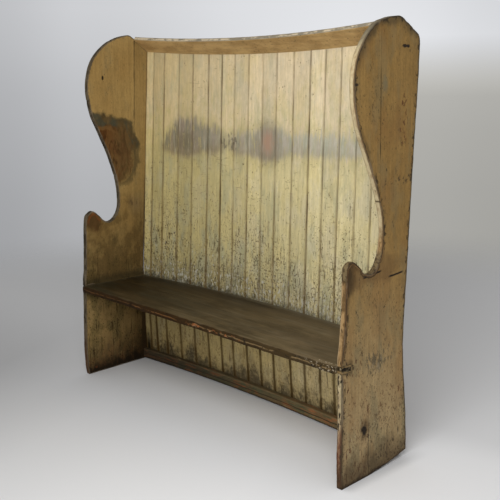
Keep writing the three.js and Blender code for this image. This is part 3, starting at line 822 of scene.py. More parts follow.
def makeEndBoard(name, loop, end, side, material, seed):
    # a board of an end. Its rim is carried round the outline: the inset and the depth into the
    # thickness follow a quarter circle at each arris. Rings run on over both faces to hold the
    # distance from the edge, and a grid of points with slight hollows fills the rest.
    loop = evenly(loop, ends["outlineStep"])
    normals = outwardNormals(loop)
    length = np.concatenate([[0], np.cumsum(np.hypot(*np.diff(loop, axis=0).T))])
    onSeam = seamGap(end, loop) < ends["onSeam"]
    dents = np.clip(wobble(length, seed, 1.6, 0.35) + wobble(length, seed + 1, 1.0, 0.045) - 0.9, 0, 2)
    arris = np.where(onSeam, ends["seamArris"], ends["arris"] * (1 + wobble(length, seed + 2, 0.45, 0.12)))
    onFloor = loop[:, 1] < 0.002
    arris[onFloor] = ends["floorArris"]
    apart = np.hypot(*(np.roll(loop, -1, 0) - loop).T)
    arris = np.minimum(arris, 0.75 * np.minimum(apart, np.roll(apart, 1)))
    fromSeam = np.maximum(seamGap(end, loop), 0)
    outside = ~(onSeam & np.roll(onSeam, -1))
    fromRim = np.where(onSeam, lineDistance(loop, loop, outside), 0)
    arris = np.minimum(arris, 0.0001 + 0.25 * np.where(onSeam, fromRim, fromSeam))
    inset = np.where(onSeam | onFloor, 0, dents * ends["dentDepth"])
    base = loop - normals * np.minimum(inset, 0.1 * fromSeam)[:, None]
    outerX = side * bench["halfWidth"]
    innerX = side * bench["innerHalf"]
    inward = np.sign(innerX - outerX)
    rings, edgeMarks, rimMarks = [], [], []

    def addRing(cut, x, rim):
        ring = base - normals * cut[:, None]
        rings.append(np.column_stack([np.broadcast_to(x, len(loop)), ring]))
        edgeMarks.append(fromRim)
        rimMarks.append(np.where(onSeam, 0, rim))

    def faceRings(faceX, direction):
        quarter = np.radians([0, 22.5, 45, 67.5, 90])
        for turn, rim in zip(quarter, (0.0, 0.15, 0.6, 0.9, 1.0)):
            cut = arris * (1 - math.sin(turn))
            addRing(cut, faceX + direction * arris * (1 - math.cos(turn)), rim)

    faceRings(outerX, inward)
    for share in (0.35, 0.65):
        addRing(np.zeros(len(loop)), outerX + (innerX - outerX) * share, 1.0)
    mark = len(rings)
    faceRings(innerX, -inward)
    for group in (rings, edgeMarks, rimMarks):
        group[mark:] = group[mark:][::-1]
    rings = np.array(rings)
    rows, columns = rings.shape[:2]
    points = [rings.reshape(-1, 3)]
    faces = gridFaces(rows, columns).tolist()
    edges = [np.concatenate(edgeMarks)]
    rims = [np.concatenate(rimMarks)]
    step = ends["gridStep"]
    low, high = loop.min(0), loop.max(0)
    ys, zs = np.meshgrid(np.arange(low[0], high[0], step), np.arange(low[1], high[1], step))
    grid = np.column_stack([(ys + step / 2 * (np.arange(len(ys)) % 2)[:, None]).ravel(), zs.ravel()])
    for row, faceX, hollow in ((0, outerX, inward), (rows - 1, innerX, -inward)):
        border = rings[row][:, 1:]
        inner, away = [], []
        for band, spread in ((0.0018, 0), (0.0045, 0), (0.008, 0), (0.013, 0), (0.0, 0.019)):
            some = base - normals * (arris + band)[:, None] if band else grid
            some = some[insideLoop(some, border)]
            gap = lineDistance(some, border)
            keep = gap > (band * 0.93 if band else spread)
            inner.append(some[keep])
            away.append(lineDistance(some[keep], border, outside))
        inner, away = np.concatenate(inner), np.concatenate(away)
        start = sum(len(part) for part in points)
        depth = ends["hollow"] + wobble(inner[:, 0], seed + 3, 0.0002, 0.12)
        depth = depth + wobble(inner[:, 1], seed + 4, 0.0002, 0.4)
        depth = np.clip(depth, 0, ends["deepest"]) * np.clip(away / 0.04, 0, 1)
        points.append(np.column_stack([faceX + hollow * depth, inner]))
        edges.append(away)
        rims.append(np.zeros(len(inner)))
        every = np.concatenate([border, inner])
        ring = [(i, (i + 1) % columns) for i in range(columns)]
        found = delaunay_2d_cdt([Vector(p) for p in every], ring, [], 1, 1e-7)
        keep = np.concatenate([np.arange(columns) + row * columns, np.arange(len(inner)) + start])
        assert len(found[0]) == len(every), (name, len(found[0]), len(every))
        triangles = keep[np.array(found[2])]
        corners = every[np.array(found[2])]
        one, two = (corners[:, k] - corners[:, 0] for k in (1, 2))
        area = one[:, 0] * two[:, 1] - one[:, 1] * two[:, 0]
        wanted = 1 if row == rows - 1 else -1
        flip = np.sign(area) != wanted * turning(loop)
        triangles[flip] = triangles[flip][:, ::-1]
        faces += triangles.tolist()
    points = np.concatenate(points)
    marks = {"edge": np.concatenate(edges), "rim": np.concatenate(rims), "seam": seamGap(end, points[:, 1:])}
    return makePiece(name, points, faces, material, [name], marks)


def makeEnd(end, shape, side, material, frontBoards, seed):
    # an end's outline cut along its seam, half the gap away on each side. frontBoards gives
    # the names of the boards in front of the seam, of which a second one stands above the hollow.
    loop = endOutline(shape)
    half = ends["seamGap"] / 2
    front = clipLoop(loop, -acrossSeam(end, loop) - half)
    below = front[:, 1] < ends["armBoardTop"]
    parts = [front] if len(frontBoards) == 1 else [front[below], front[~below]]
    rear = clipLoop(loop, acrossSeam(end, loop) - half)
    for name, part in zip([*frontBoards, "rear_board"], [*parts, rear]):
        makeEndBoard(f"{end}_end_{name}", part, end, side, material, seed)
        seed += 10


makeEnd("left", leftShape, -1, makeLeftEndPaint(), ["front_board"], 20)
makeEnd("right", rightShape, 1, makeRightEndPaint(), ["arm_board", "wing_board"], 40)
print("ends made")

# ---- paint on the matchboards

boardPaint = {
    "cream": (0.665, 0.560, 0.345),
    "straw": (0.520, 0.415, 0.200),
    "stain": (0.375, 0.365, 0.230),
    "brown": (0.205, 0.122, 0.033),
    "grime": (0.045, 0.022, 0.003),
    "speck": (0.064, 0.038, 0.013),
    "bareBack": (0.24, 0.17, 0.10),
    "tints": ((0.985, 1.035, 0.87), (1.03, 0.995, 1.11)),
    "mellow": (0.560, 0.450, 0.185),
    "ashen": (0.560, 0.500, 0.360),
    "hairs": (0.290, 0.225, 0.115),
    "scrapes": (0.185, 0.135, 0.068),
    "corner": (0.045, 0.030, 0.012),
    "agedBack": (0.145, 0.100, 0.058),
    "knots": (0.070, 0.038, 0.018),
    "slit": (0.030, 0.020, 0.012),
}
# The band that shoulders have rubbed down to grey wood: where along the bench, its lower and
# upper edge, and how strong it is there
rubbedBand = [
    (-0.787, 1.075, 1.090, 0.0),
    (-0.690, 1.070, 1.095, 0.1),
    (-0.660, 1.065, 1.115, 0.7),
    (-0.630, 1.060, 1.165, 0.9),
    (-0.550, 1.045, 1.225, 1.0),
    (-0.480, 1.045, 1.225, 1.0),
    (-0.410, 1.065, 1.205, 1.0),
    (-0.310, 1.070, 1.185, 1.0),
    (-0.235, 1.095, 1.155, 0.5),
    (-0.170, 1.070, 1.165, 0.9),
    (0.020, 1.055, 1.190, 1.0),
    (0.100, 1.065, 1.185, 1.0),
    (0.200, 1.085, 1.175, 0.9),
    (0.480, 1.090, 1.185, 0.9),
    (0.620, 1.095, 1.180, 0.8),
    (0.787, 1.100, 1.180, 1.0),
]


def boardSurface(f, dirty, cloudy):
    # cream to straw paint in long streaks, grey-green stains and dark flecks along the grain
    streak = f.noise(190, (1, 1, 0.025), 4, 0.65, 4.0)
    lines = f.noise(75, (1, 1, 0.015), 3, 0.6, 5.0)
    mottle = f.noise(38, (1, 1, 0.6), 4, 0.65, 8.0)
    # cream on the right to a darker straw on the left: partly a change of hue in the paint, partly painted
    # shade
    toLeft = f.fade(f.x + (f.z - 1.0) * 0.35, -0.75, 0.65)
    f.colour = f.blend(toLeft, "cream", "straw")
    pink = f.soft(f.z + (mottle - 0.5) * 0.8, 1.02, 1.34)
    f.lay(0.6, f.blend(1.0, f.colour, f.choose(pink, "tints"), "MULTIPLY"))
    # patches of grey-green and of yellow as wide as a hand
    stain = f.soft(f.noise(13, (1, 1, 0.35), 5, 0.65, 10.0) + dirty * 0.03, 0.49, 0.64)
    f.lay(stain * (0.35 + dirty * 0.35), "stain")
    f.lay(f.soft(f.noise(9, (1, 1, 0.5), 5, 0.65, 11.0), 0.48, 0.62) * 0.30, "mellow")
    ashen = f.soft(f.noise(10, (1, 1, 0.5), 5, 0.65, 13.0) + dirty * 0.03, 0.50, 0.62) * (1 - toLeft * 0.6)
    f.lay(ashen * 0.40, "ashen")
    fine = f.noise(130, (1, 1, 0.4), 3, 0.7, 7.0)
    hairs = f.soft(f.noise(150, (1, 1, 0.012), 3, 0.65, 6.0) + dirty * 0.03, 0.56, 0.66)
    f.lay(hairs * (0.18 + dirty * 0.30), "hairs")
    f.vary((0.28 + streak * 0.40 + lines * 0.36 + mottle * 0.38 + fine * 0.30) * f.mark("board"))
    specks = f.flecks(150, (1, 1, 0.55), dirty * 0.95 + (cloudy - 0.5) * 2.4 - 0.12, 12.0)
    dashes = f.flecks(130, (1, 1, 0.08), dirty * 0.95 + (cloudy - 0.5) * 1.6 - 0.05, 14.0, 0.06, 3)
    cluster = f.soft(f.noise(6, (1, 1, 0.7), 3, 0.5, 29.0), 0.42, 0.60)
    pocks = f.flecks(88, (1, 1, 0.7), cluster * 0.55 + dirty * 0.55 - 0.35, 30.0, 0.025, 3)
    marks = f.most(f.most(specks * 0.75, dashes * 0.7), pocks * 0.75)
    f.lay(marks, "speck")
    # short wear marks across the grain
    scrapes = f.flecks(125, (0.22, 1, 1), cluster * 0.5 + dirty * 0.5 + (cloudy - 0.5), 40.0, 0.05, 3)
    f.lay(scrapes * 0.45, "scrapes")
    # painted shade: a dark line in the corner by the left end, weaker higher up
    corner = f.fade(f.x + bench["innerHalf"] + (mottle - 0.5) * 0.008, 0.001, 0.006)
    f.lay(corner * (0.80 - f.soft(f.z, 0.65, 0.95) * 0.65), "corner")
    height = streak * 0.35 + mottle * 0.1 - marks * 0.5
    return height, streak, mottle, toLeft


def boardGrooves(f, height, wide, spread, mottle):
    # dirt in the grooves, with a soft brown edge that spreads over the face here and there
    ragged = f.mark("groove") + (f.noise(60, (1, 1, 0.12), 3, 0.6, 26.0) - 0.5) * 0.004
    uneven = f.soft(f.noise(16, (1, 1, 0.35), 4, 0.65, 27.0), 0.30, 0.60, (0.62, 1.0)) * f.mark("seamDark")
    halo = f.fade(ragged, 0.001, 0.010 * wide) * uneven
    line = f.fade(ragged, 0.0010 * wide, 0.0040 * wide) * uneven
    f.lay(halo * spread, "brown")
    f.lay(line, "grime")
    grain = f.noise(60, (1, 1, 0.02), 4, 0.6, 28.0)
    knots = f.flecks(9, (1, 1, 0.45), 0.35, 42.0, 0.05, 2)
    aged = f.soft(f.noise(3, (1, 1, 0.5), 4, 0.6, 43.0), 0.42, 0.60)
    bare = f.blend(aged * 0.6, "bareBack", "agedBack")
    bare = f.shade(bare, (0.25 + grain * 1.35) * f.mark("board"))
    bare = f.blend(knots * 0.7, bare, "knots")
    slit = f.fade(f.mark("groove"), 0.0006, 0.0024)
    bare = f.blend(slit * 0.85, bare, "slit")
    f.lay(f.soft(f.mark("deep"), 0.004, 0.006), bare)
    return f.done(0.50 + mottle * 0.2 + line * 0.2, height)


upperBoardPaint = {
    **boardPaint,
    "chalk": (0.50, 0.48, 0.40),
    "grey": ((0.440, 0.415, 0.325), (0.225, 0.182, 0.112)),
    "warmGrey": ((0.445, 0.395, 0.335), (0.240, 0.182, 0.130)),
    "coolGrey": ((0.365, 0.375, 0.285), (0.160, 0.150, 0.102)),
    "frayed": (0.235, 0.180, 0.095),
    "heart": (0.150, 0.118, 0.062),
    "paleStreaks": ((0.640, 0.590, 0.470), (0.520, 0.450, 0.330)),
    "smear": (0.165, 0.130, 0.085),
    "redSpot": (0.400, 0.230, 0.150),
    "dots": (0.130, 0.112, 0.080),
    "seatZone": (0.120, 0.100, 0.056),
    "pits": (0.050, 0.036, 0.018),
    "holes": (0.060, 0.036, 0.014),
    "drips": (0.062, 0.045, 0.022),
    "crust": ((0.046, 0.038, 0.022), (0.210, 0.200, 0.150)),
}


def makeUpperBoardPaint():
    f = newFinish("upperBoardPaint", upperBoardPaint)
    z = f.z
    broad = f.noise(4.5, (1, 1, 0.6), 3, 0.5, 2.0)
    cloudy = f.noise(20, (1, 1, 0.4), 4, 0.62, 9.0)
    dirty = f.fade(z + (broad - 0.5) * 0.5, 0.42, 1.20)
    height, streak, mottle, toLeft = boardSurface(f, dirty, cloudy)
    drift = cloudy - 0.5
    # the boards are darker low down, towards the left and in a broad oval left of the middle: dirt together
    # with painted shade
    worn = f.spot(f.x, z, (-0.500, 0.930), (0.380, 0.260), 0.4, 1.2, drift * 1.2)
    f.vary(1 - dirty * (0.03 + toLeft * 0.10) - worn * 0.10)
    limits = f.ramp(f.x, -bench["innerHalf"], bench["innerHalf"], rubbedBand)
    low, high, strength = f.parts(limits)
    fray = (f.noise(90, (1, 0, 0.02), 4, 0.7, 19.0) - 0.5) * 0.15 + drift * 0.10
    band = f.soft(z + fray * 0.5 - low, -0.020, 0.020)
    band = band * f.fade(z + fray - high, -0.025, 0.020) * strength
    below = f.soft(z + fray * 1.6 - low, -0.090, -0.010) * f.fade(z - high, 0, 0.06) * strength
    f.vary(1 - below * 0.10)
    grey = f.choose(toLeft, "grey")
    hue = f.noise(26, (1, 1, 0.12), 4, 0.65, 18.0)
    grey = f.blend(f.soft(hue, 0.50, 0.60) * 0.6, grey, f.choose(toLeft, "warmGrey"))
    grey = f.blend(f.fade(hue, 0.40, 0.50) * 0.6, grey, f.choose(toLeft, "coolGrey"))
    grey = f.blend(f.soft(low - z + fray + 0.060, 0.0, 0.06) * (0.2 + toLeft * 0.5), grey, "frayed")
    heart = f.spot(f.x, z, (-0.520, 1.115), (0.085, 0.065), 0.3, 1.2, drift * 1.5)
    grey = f.blend(heart * 0.55, grey, "heart")
    wisps = f.noise(120, (1, 1, 0.03), 4, 0.7, 20.0)
    grey = f.shade(grey, 0.05 + streak * 0.60 + mottle * 0.85 + wisps * 0.45)
    f.lay(band * f.soft(streak + mottle, 0.70, 0.95), grey)
    pale = f.soft(f.noise(70, (1, 1, 0.05), 3, 0.6, 22.0), 0.58, 0.66) * band
    f.lay(pale * 0.5, f.choose(toLeft, "paleStreaks"))
    # a red spot in the middle with a darker smear round it
    away = f.oval(f.x, z, (0.024, 1.132), (0.060, 0.078)) + (mottle - 0.5) * 0.9 + (wisps - 0.5) * 0.8
    f.lay(f.fade(away, 0.7, 1.8) * 0.40, "smear")
    f.lay(f.fade(away, 0.1, 1.0) * 0.68, "redSpot")
    dots = f.flecks(75, (1, 1, 0.6), 1.3, 35.0, 0.03, 3) * (
        f.spot(f.x, z, (-0.215, 1.125), (0.070, 0.045), 0.7, 1.1))
    f.lay(dots * 0.7, "dots")
    # blue-grey and chalky chips and thick dirt where the boards meet the seat
    seatZone = f.fade(z + drift * 0.22, 0.43, 0.60)
    f.lay(seatZone * (0.05 + toLeft * 0.43), "seatZone")
    pits = f.flecks(190, (1, 1, 0.5), 0.25 + toLeft * 0.25 + seatZone * 0.40 + drift * 1.5, 23.0)
    pits = pits * f.fade(z + (broad - 0.5) * 0.4, 0.55, 1.00)
    f.lay(pits * (0.60 + toLeft * 0.2), "pits")
    clump = f.spot(f.x, z, (-0.640, 0.655), (0.080, 0.110), 0.4, 1.3)
    holes = f.flecks(70, (1, 1, 0.8), 0.10 + toLeft * 0.15 + clump * 0.75 + drift, 32.0, 0.03, 3)
    f.lay(holes * f.fade(z, 0.70, 1.05) * 0.85, "holes")
    chips = f.flecks(110, (1, 1, 0.45), 0.40 + seatZone * 0.90, 24.0, 0.04, 3)
    chips = chips * f.fade(z + drift * 0.4, 0.50, 0.95)
    f.lay(chips * 0.70, "chalk")
    drips = f.flecks(90, (1, 1, 0.05), 0.50 + seatZone * 0.40, 25.0, 0.05, 3) * f.fade(z, 0.50, 0.80)
    f.lay(drips * (0.35 + toLeft * 0.35), "drips")
    # a ragged crust of dirt and pale flakes on the seat line
    lift = z - bench["seatLevel"] + (f.noise(55, (1, 1, 0.6), 4, 0.68, 33.0) - 0.5) * 0.10 + drift * 0.05
    crust = f.fade(lift, 0.004, 0.024)
    flakes = f.soft(f.noise(100, (1, 1, 0.8), 3, 0.65, 34.0), 0.50, 0.60)
    f.lay(crust * (0.45 + toLeft * 0.35), f.choose(flakes, "crust"))
    return boardGrooves(f, height - band * 0.3 + chips * 0.3, 0.95, 0.15 + dirty * 0.45, mottle)


lowerBoardPaint = {
    **boardPaint,
    "wash": (0.46, 0.29, 0.105),
    "drips": (0.070, 0.045, 0.020),
    "shaded": (0.075, 0.042, 0.013),
    "splashes": (0.150, 0.102, 0.046),
    "muck": ((0.022, 0.016, 0.009), (0.070, 0.056, 0.032)),
    "thinMuck": (0.108, 0.084, 0.051),
    "black": (0.008, 0.005, 0.002),
}


def makeLowerBoardPaint():
    f = newFinish("lowerBoardPaint", lowerBoardPaint)
    z = f.z
    cloudy = f.noise(20, (1, 1, 0.4), 4, 0.62, 9.0)
    dirty = 0.75 - f.soft(z, 0.10, 0.40) * 0.2
    height, _, mottle, _ = boardSurface(f, dirty, cloudy)
    f.lay(0.34, "wash")
    # painted light: the boards get lighter towards the right
    f.vary(0.80 + f.soft(f.x, -0.8, 0.5) * 0.45)
    f.lay(f.flecks(60, (1, 1, 0.10), 0.65 + (cloudy - 0.5), 25.0, 0.08, 4) * 0.7, "drips")
    # painted shade along the tops of the boards, under the seat
    f.lay(f.soft(z + (cloudy - 0.5) * 0.06, 0.29, 0.40) * 0.5, "shaded")
    # splashes of mud along the foot, thickest at the left, where the corner is black
    top = 0.090 + (f.noise(6, (1, 0, 0), 4, 0.6, 16.0) - 0.5) * 0.20 + f.fade(f.x, -0.78, -0.45) * 0.025
    top = top + f.soft(f.x, 0.25, 0.50) * 0.022
    rough = f.noise(70, (1, 1, 0.7), 4, 0.7, 37.0)
    muddy = z + (f.noise(18, (1, 1, 0.8), 5, 0.68, 17.0) - 0.5) * 0.26 + (rough - 0.5) * 0.16 - top
    f.lay(f.fade(muddy, -0.02, 0.10) * 0.50, "splashes")
    mud = f.fade(muddy, -0.045, 0.030)
    muck = f.choose(f.soft(rough, 0.42, 0.58), "muck")
    thin = f.soft(f.x, -0.75, 0.2) * (0.55 - f.soft(f.x, 0.30, 0.55) * 0.50)
    f.lay(mud * 0.80, f.blend(thin, muck, "thinMuck"))
    black = f.fade(f.x + bench["innerHalf"] + (cloudy - 0.5) * 0.08, 0.01, 0.07)
    f.lay(black * f.fade(z, 0.07, 0.17) * 0.9, "black")
    return boardGrooves(f, height, 1.7, 0.5, mottle)


# ---- matchboards

boards = {
    "thickness": 0.012,
    "seamGap": 0.0006,
    "beadRadius": 0.0024,
    "quirk": 0.0014,
    "beadDepth": 0.0020,
    "rows": 40,
    "bend": 0.0005,
    "lowerSeamDark": 0.85,
    "upperFrom": 0.405,
    "lowerFrom": 0.009,
    "lowerTo": 0.404,
}
# Widths in mm from the left, how dark the seam after each upper board is, and how light each
# board is beside its neighbours
upperWidths = [52, 75, 102, 96, 104, 88, 83, 89, 88, 84, 100, 96, 83, 87, 94, 85, 87, 81]
lowerWidths = [42, 46, 73, 102, 101, 96, 88, 79, 92, 86, 82, 105, 85, 90, 78, 92, 86, 80, 71]
seamDark = [
    0.80, 0.76, 0.55, 0.65, 0.90, 1.0, 0.55, 0.65, 0.62, 0.66, 0.68, 1.0, 0.66, 0.75, 0.66, 0.66, 0.62, 0.5,
]
boardTone = [
    1.20, 0.96, 1.03, 0.95, 1.02, 0.93, 1.06, 0.97, 1.04, 0.95, 1.02, 0.94, 1.05, 0.97, 1.03, 0.96, 1.04,
    0.98, 1.0,
]
topBoard = {
    "frontY": 0.344,
    "frontZ": 1.612,
    "bow": 0.044,
    "slope": 0.72,
    "tilt": 0.003,
    "thickness": 0.018,
    "overhang": 0.004,
}


def topBoardTop(x, y):
    # it slopes back, and stands a little higher on the left
    tilt = topBoard["tilt"] * x / bench["innerHalf"]
    return topBoard["frontZ"] - tilt - topBoard["slope"] * (y - topBoard["frontY"])


topBoardDrop = topBoard["thickness"] * math.hypot(1, topBoard["slope"])


def seamPlaces(widths):
    places = -bench["innerHalf"] + np.concatenate([[0], np.cumsum(widths)]) / 1000
    places[-1] = bench["innerHalf"]
    return places


def boardSection(width):
    # a board's outline, across and deep: eased arris, flat face, quirk, half-round bead, back, groove.
    # The third column is the distance from the nearest groove in the face.
    r, quirk, depth = boards["beadRadius"], boards["quirk"], boards["beadDepth"]
    near, far = boards["seamGap"] / 2, width - boards["seamGap"] / 2
    middle = far - r
    ease = np.radians([0, 30, 60, 90])
    arris = np.column_stack([near + 0.0009 * (1 - np.sin(ease)), 0.0009 * (1 - np.cos(ease))])[::-1]
    face = np.column_stack([np.linspace(near + 0.003, middle - r - quirk - 0.002, 9), np.zeros(9)])
    dip = [
        (middle - r - quirk, 0.0),
        (middle - r - quirk * 0.6, depth * 0.75),
        (middle - r - quirk * 0.3, depth),
    ]
    turn = np.linspace(0, math.pi, 11)
    bead = np.column_stack([middle - r * np.cos(turn), r * (1 - np.sin(turn))])
    across = [far, far - 0.003, far - 0.008, width / 2, near + 0.008, near + 0.003, near]
    rear = np.column_stack([across, np.full(len(across), boards["thickness"])])
    section = np.concatenate([arris, face, dip, bead, [(far, 0.007)], rear, [(near, 0.007)]])
    fromQuirk = np.abs(section[:, 0] - (middle - r - quirk * 0.4)) + 0.0020
    fromSeam = np.minimum(section[:, 0] - near, far - section[:, 0] + 0.0010)
    groove = np.where(section[:, 1] > 0.003, 0, np.maximum(np.minimum(fromQuirk, fromSeam), 0))
    groove = np.where(section[:, 1] == boards["thickness"], np.maximum(fromSeam, 0), groove)
    return section, groove


def makeBoards(wall, widths, material, dice):
    # a board is its section carried up the wall. Each point's place is the straight line between
    # its two seams on the bowed wall, pushed back by its depth and by a slow bend of the board.
    edges = seamPlaces(widths)
    for i, width in enumerate(np.diff(edges)):
        section, groove = boardSection(width)
        x0, x1 = edges[i], edges[i + 1]
        share = np.linspace(0, 1, boards["rows"])[:, None]
        u, v = section[:, 0] / width, section[:, 1]
        if wall == "upper":
            low, high = boards["upperFrom"], walls["upper"]["head"][0]
            yLow = wallY(wall, x0, low) * (1 - u) + wallY(wall, x1, low) * u + v
            yHigh = wallY(wall, x0, high) * (1 - u) + wallY(wall, x1, high) * u + v
            ceiling = topBoardTop(x0 + section[:, 0], yLow) - topBoardDrop - 0.0006
            reach = (ceiling - low) / (high - low + topBoard["slope"] * (yHigh - yLow))
        else:
            low, high, reach = boards["lowerFrom"], boards["lowerTo"], np.ones(len(u))
        z = low + (high - low) * reach * share
        bend = wobble(share, i * 3 + (100 if wall == "upper" else 200), boards["bend"], 1.2)
        y = wallY(wall, x0, z) * (1 - u) + wallY(wall, x1, z) * u + v + bend
        x = np.clip(x0 + section[:, 0] + 0 * z, -bench["innerHalf"] + 0.0004, bench["innerHalf"] - 0.0004)
        rings = np.stack([x, y, z], -1)
        darkness = np.full(len(u), boards["lowerSeamDark"])
        if wall == "upper":
            darkness = np.where(section[:, 0] > width / 2, seamDark[i], seamDark[max(i - 1, 0)])
        rows = np.ones((boards["rows"], 1))
        marks = {
            "groove": rows * groove,
            "seamDark": rows * darkness,
            "deep": rows * v,
            "board": np.full(rings.shape[:2], boardTone[i] * dice.uniform(0.97, 1.03)),
        }
        name = f"{wall}_back_board_{i + 1:02d}"
        makePiece(name, rings, closedLoft(rings), material, [name], marks)


dice = np.random.default_rng(bench["seed"])
makeBoards("upper", upperWidths, makeUpperBoardPaint(), dice)
makeBoards("lower", lowerWidths, makeLowerBoardPaint(), dice)
print("matchboards made")

# ---- bars across the bench: top board, seat, rails

bars = {"stations": 260, "cornerSteps": 5, "sideSteps": 5}


def barRings(xs, corners, radii, wander, seed):
    # corners(x) gives the corner points of the bar's section in y and z. Each corner is rounded by
    # a curve between points one radius along its two sides, and the radius wanders along the bar.
    shape = np.stack([corners(x) for x in xs])
    rings, nearness = [], []
    count = shape.shape[1]
    t = np.linspace(0, 1, bars["cornerSteps"])[:, None, None]
    for k in range(count):
        corner, before, after = shape[:, k], shape[:, k - 1], shape[:, (k + 1) % count]
        radius = radii[k] * (1 + wobble(xs, seed + k, wander, 0.11))[:, None]
        toBefore, toAfter = before - corner, after - corner
        a = corner + toBefore / np.linalg.norm(toBefore, axis=1, keepdims=True) * radius
        b = corner + toAfter / np.linalg.norm(toAfter, axis=1, keepdims=True) * radius
        rings.append((1 - t) ** 2 * a + 2 * t * (1 - t) * corner + t ** 2 * b)
        nearness.append(np.full(bars["cornerSteps"], 0.0))
        nextRadius = radii[(k + 1) % count] * (1 + wobble(xs, seed + (k + 1) % count, wander, 0.11))[:, None]
        c = after - toAfter / np.linalg.norm(toAfter, axis=1, keepdims=True) * nextRadius
        s = (np.arange(1, bars["sideSteps"]) / bars["sideSteps"])[:, None, None]
        rings.append(b + (c - b) * s)
        span = float(np.linalg.norm(c - b, axis=1).mean())
        nearness.append(np.minimum(s, 1 - s).ravel() * span)
    section = np.concatenate(rings, 0).transpose(1, 0, 2)
    x = np.broadcast_to(xs[:, None, None], (*section.shape[:2], 1))
    return np.concatenate([x, section], -1), np.concatenate(nearness)


def makeBar(name, corners, radii, material, stands, wander, seed, xs=None, more=None):
    # a bar from end to end of the bench, or along the given places. more holds marks for the
    # points of one ring.
    if xs is None:
        reach = bench["innerHalf"] - bench["gap"]
        xs = np.linspace(-reach, reach, bars["stations"])
    rings, edge = barRings(xs, corners, radii, wander, seed)
    marks = {key: np.tile(values, len(xs)) for key, values in {"edge": edge, **(more or {})}.items()}
    makePiece(name, rings, closedLoft(rings), material, stands, marks)


topPaint = {
    "shade": (0.58, 0.385, 0.165),
    "dark": (0.42, 0.265, 0.105),
    "pale": (0.58, 0.475, 0.32),
    "grey": (0.24, 0.205, 0.145),
    "speck": (0.075, 0.058, 0.036),
    "blots": (0.100, 0.080, 0.052),
    "upside": (0.26, 0.21, 0.135),
}


def makeTopPaint():
    f = newFinish("topBoardPaint", topPaint)
    edge, front, top = f.mark("edge"), f.mark("front"), f.mark("top")
    grain = f.noise(90, (0.05, 1, 1), 4, 0.62, 3.0)
    cloudy = f.noise(16, (0.5, 1, 1), 4, 0.6, 5.0)
    mottle = f.noise(60, (0.5, 1, 1), 4, 0.65, 7.0)
    # the underside and the rest take a browner, darker paint than the pale front strip; part of that
    # darkness is painted shade
    f.colour = f.blend(f.soft(cloudy, 0.38, 0.66), "shade", "dark")
    f.vary(0.6 + grain * 0.4 + mottle * 0.4)
    strip = f.blend(f.soft(mottle + (cloudy - 0.5) * 0.8, 0.47, 0.60), "pale", "grey")
    strip = f.blend(f.flecks(48, (0.35, 1, 1), 0.6, 15.0, 0.08, 3) * 0.6, strip, "blots")
    f.lay(front, strip)
    upside = f.blend(f.soft(cloudy, 0.4, 0.6), "upside", "grey")
    f.lay(top, f.shade(upside, 0.6 + grain * 0.8))
    worn = f.fade(edge + (mottle - 0.5) * 0.012, 0.001, 0.0045)
    f.lay(worn * f.most(front, top) * 0.75, "grey")
    specks = f.flecks(130, (0.7, 1, 1), 0.35 + (cloudy - 0.5), 13.0) * 0.65
    f.lay(specks, "speck")
    return f.done(0.55 + mottle * 0.2, grain * 0.4 + mottle * 0.1 - specks * 0.5)


def makeTopBoard():
    # a leaning board with square edges, its front and rear cut to the bow
    lean = topBoard["thickness"] * topBoard["slope"] / math.hypot(1, topBoard["slope"])

    def corners(x):
        frontY = topBoard["frontY"] + topBoard["bow"] * bowShare(x)
        rearY = wallY("upper", x, walls["upper"]["head"][0]) + boards["thickness"] + topBoard["overhang"]
        return np.array([
            (frontY, topBoardTop(x, frontY)),
            (frontY - lean, topBoardTop(x, frontY - lean) - topBoardDrop),
            (rearY - lean, topBoardTop(x, rearY - lean) - topBoardDrop),
            (rearY, topBoardTop(x, rearY)),
        ])

    # the points of a ring that lie on the front and on the upper face
    step = bars["cornerSteps"]
    count = step + bars["sideSteps"] - 1
    place = np.arange(count * 4)
    faces = {
        "front": ((place >= step - 2) & (place <= count + 1)).astype(float),
        "top": ((place >= 3 * count + 2) | (place <= 1)).astype(float),
    }
    radii = (0.0022, 0.0016, 0.0015, 0.002)
    paint = makeTopPaint()
    makeBar("top_board", corners, radii, paint, ["top_board"], 0.4, 300, more=faces)


makeTopBoard()

seat = {
    "topZ": 0.441,
    "thickness": 0.028,
    "frontY": -0.018,
    "slope": 0.0187,
    "seamY": 0.196,
    "seamGap": 0.0006,
    "earFront": 0.0015,
    "earBack": 0.0458,
    "earDepth": 0.0252,
    "earStations": 12,
}
seatWood = {
    "dark": (0.034, 0.022, 0.008),
    "worn": (0.120, 0.088, 0.046),
    "grey": (0.150, 0.125, 0.080),
    "pale": (0.48, 0.40, 0.28),
    "black": (0.016, 0.012, 0.007),
    "hue": ((0.030, 0.030, 0.018), (0.150, 0.105, 0.058)),
    "sheen": ((0.060, 0.060, 0.042), (0.170, 0.150, 0.105)),
    "dirt": ((0.080, 0.066, 0.036), (0.150, 0.128, 0.082)),
    "under": ((0.024, 0.010, 0.001), (0.038, 0.024, 0.008)),
    "line": ((0.200, 0.090, 0.030), (0.240, 0.160, 0.073)),
    "chips": ((0.235, 0.085, 0.028), (0.440, 0.300, 0.165)),
    "blots": ((0.010, 0.007, 0.003), (0.110, 0.080, 0.040)),
    "paleBlots": (0.330, 0.270, 0.180),
    "painted": (0.225, 0.150, 0.064),
}


def seatTop(y):
    return seat["topZ"] - seat["slope"] * (y - seat["frontY"])


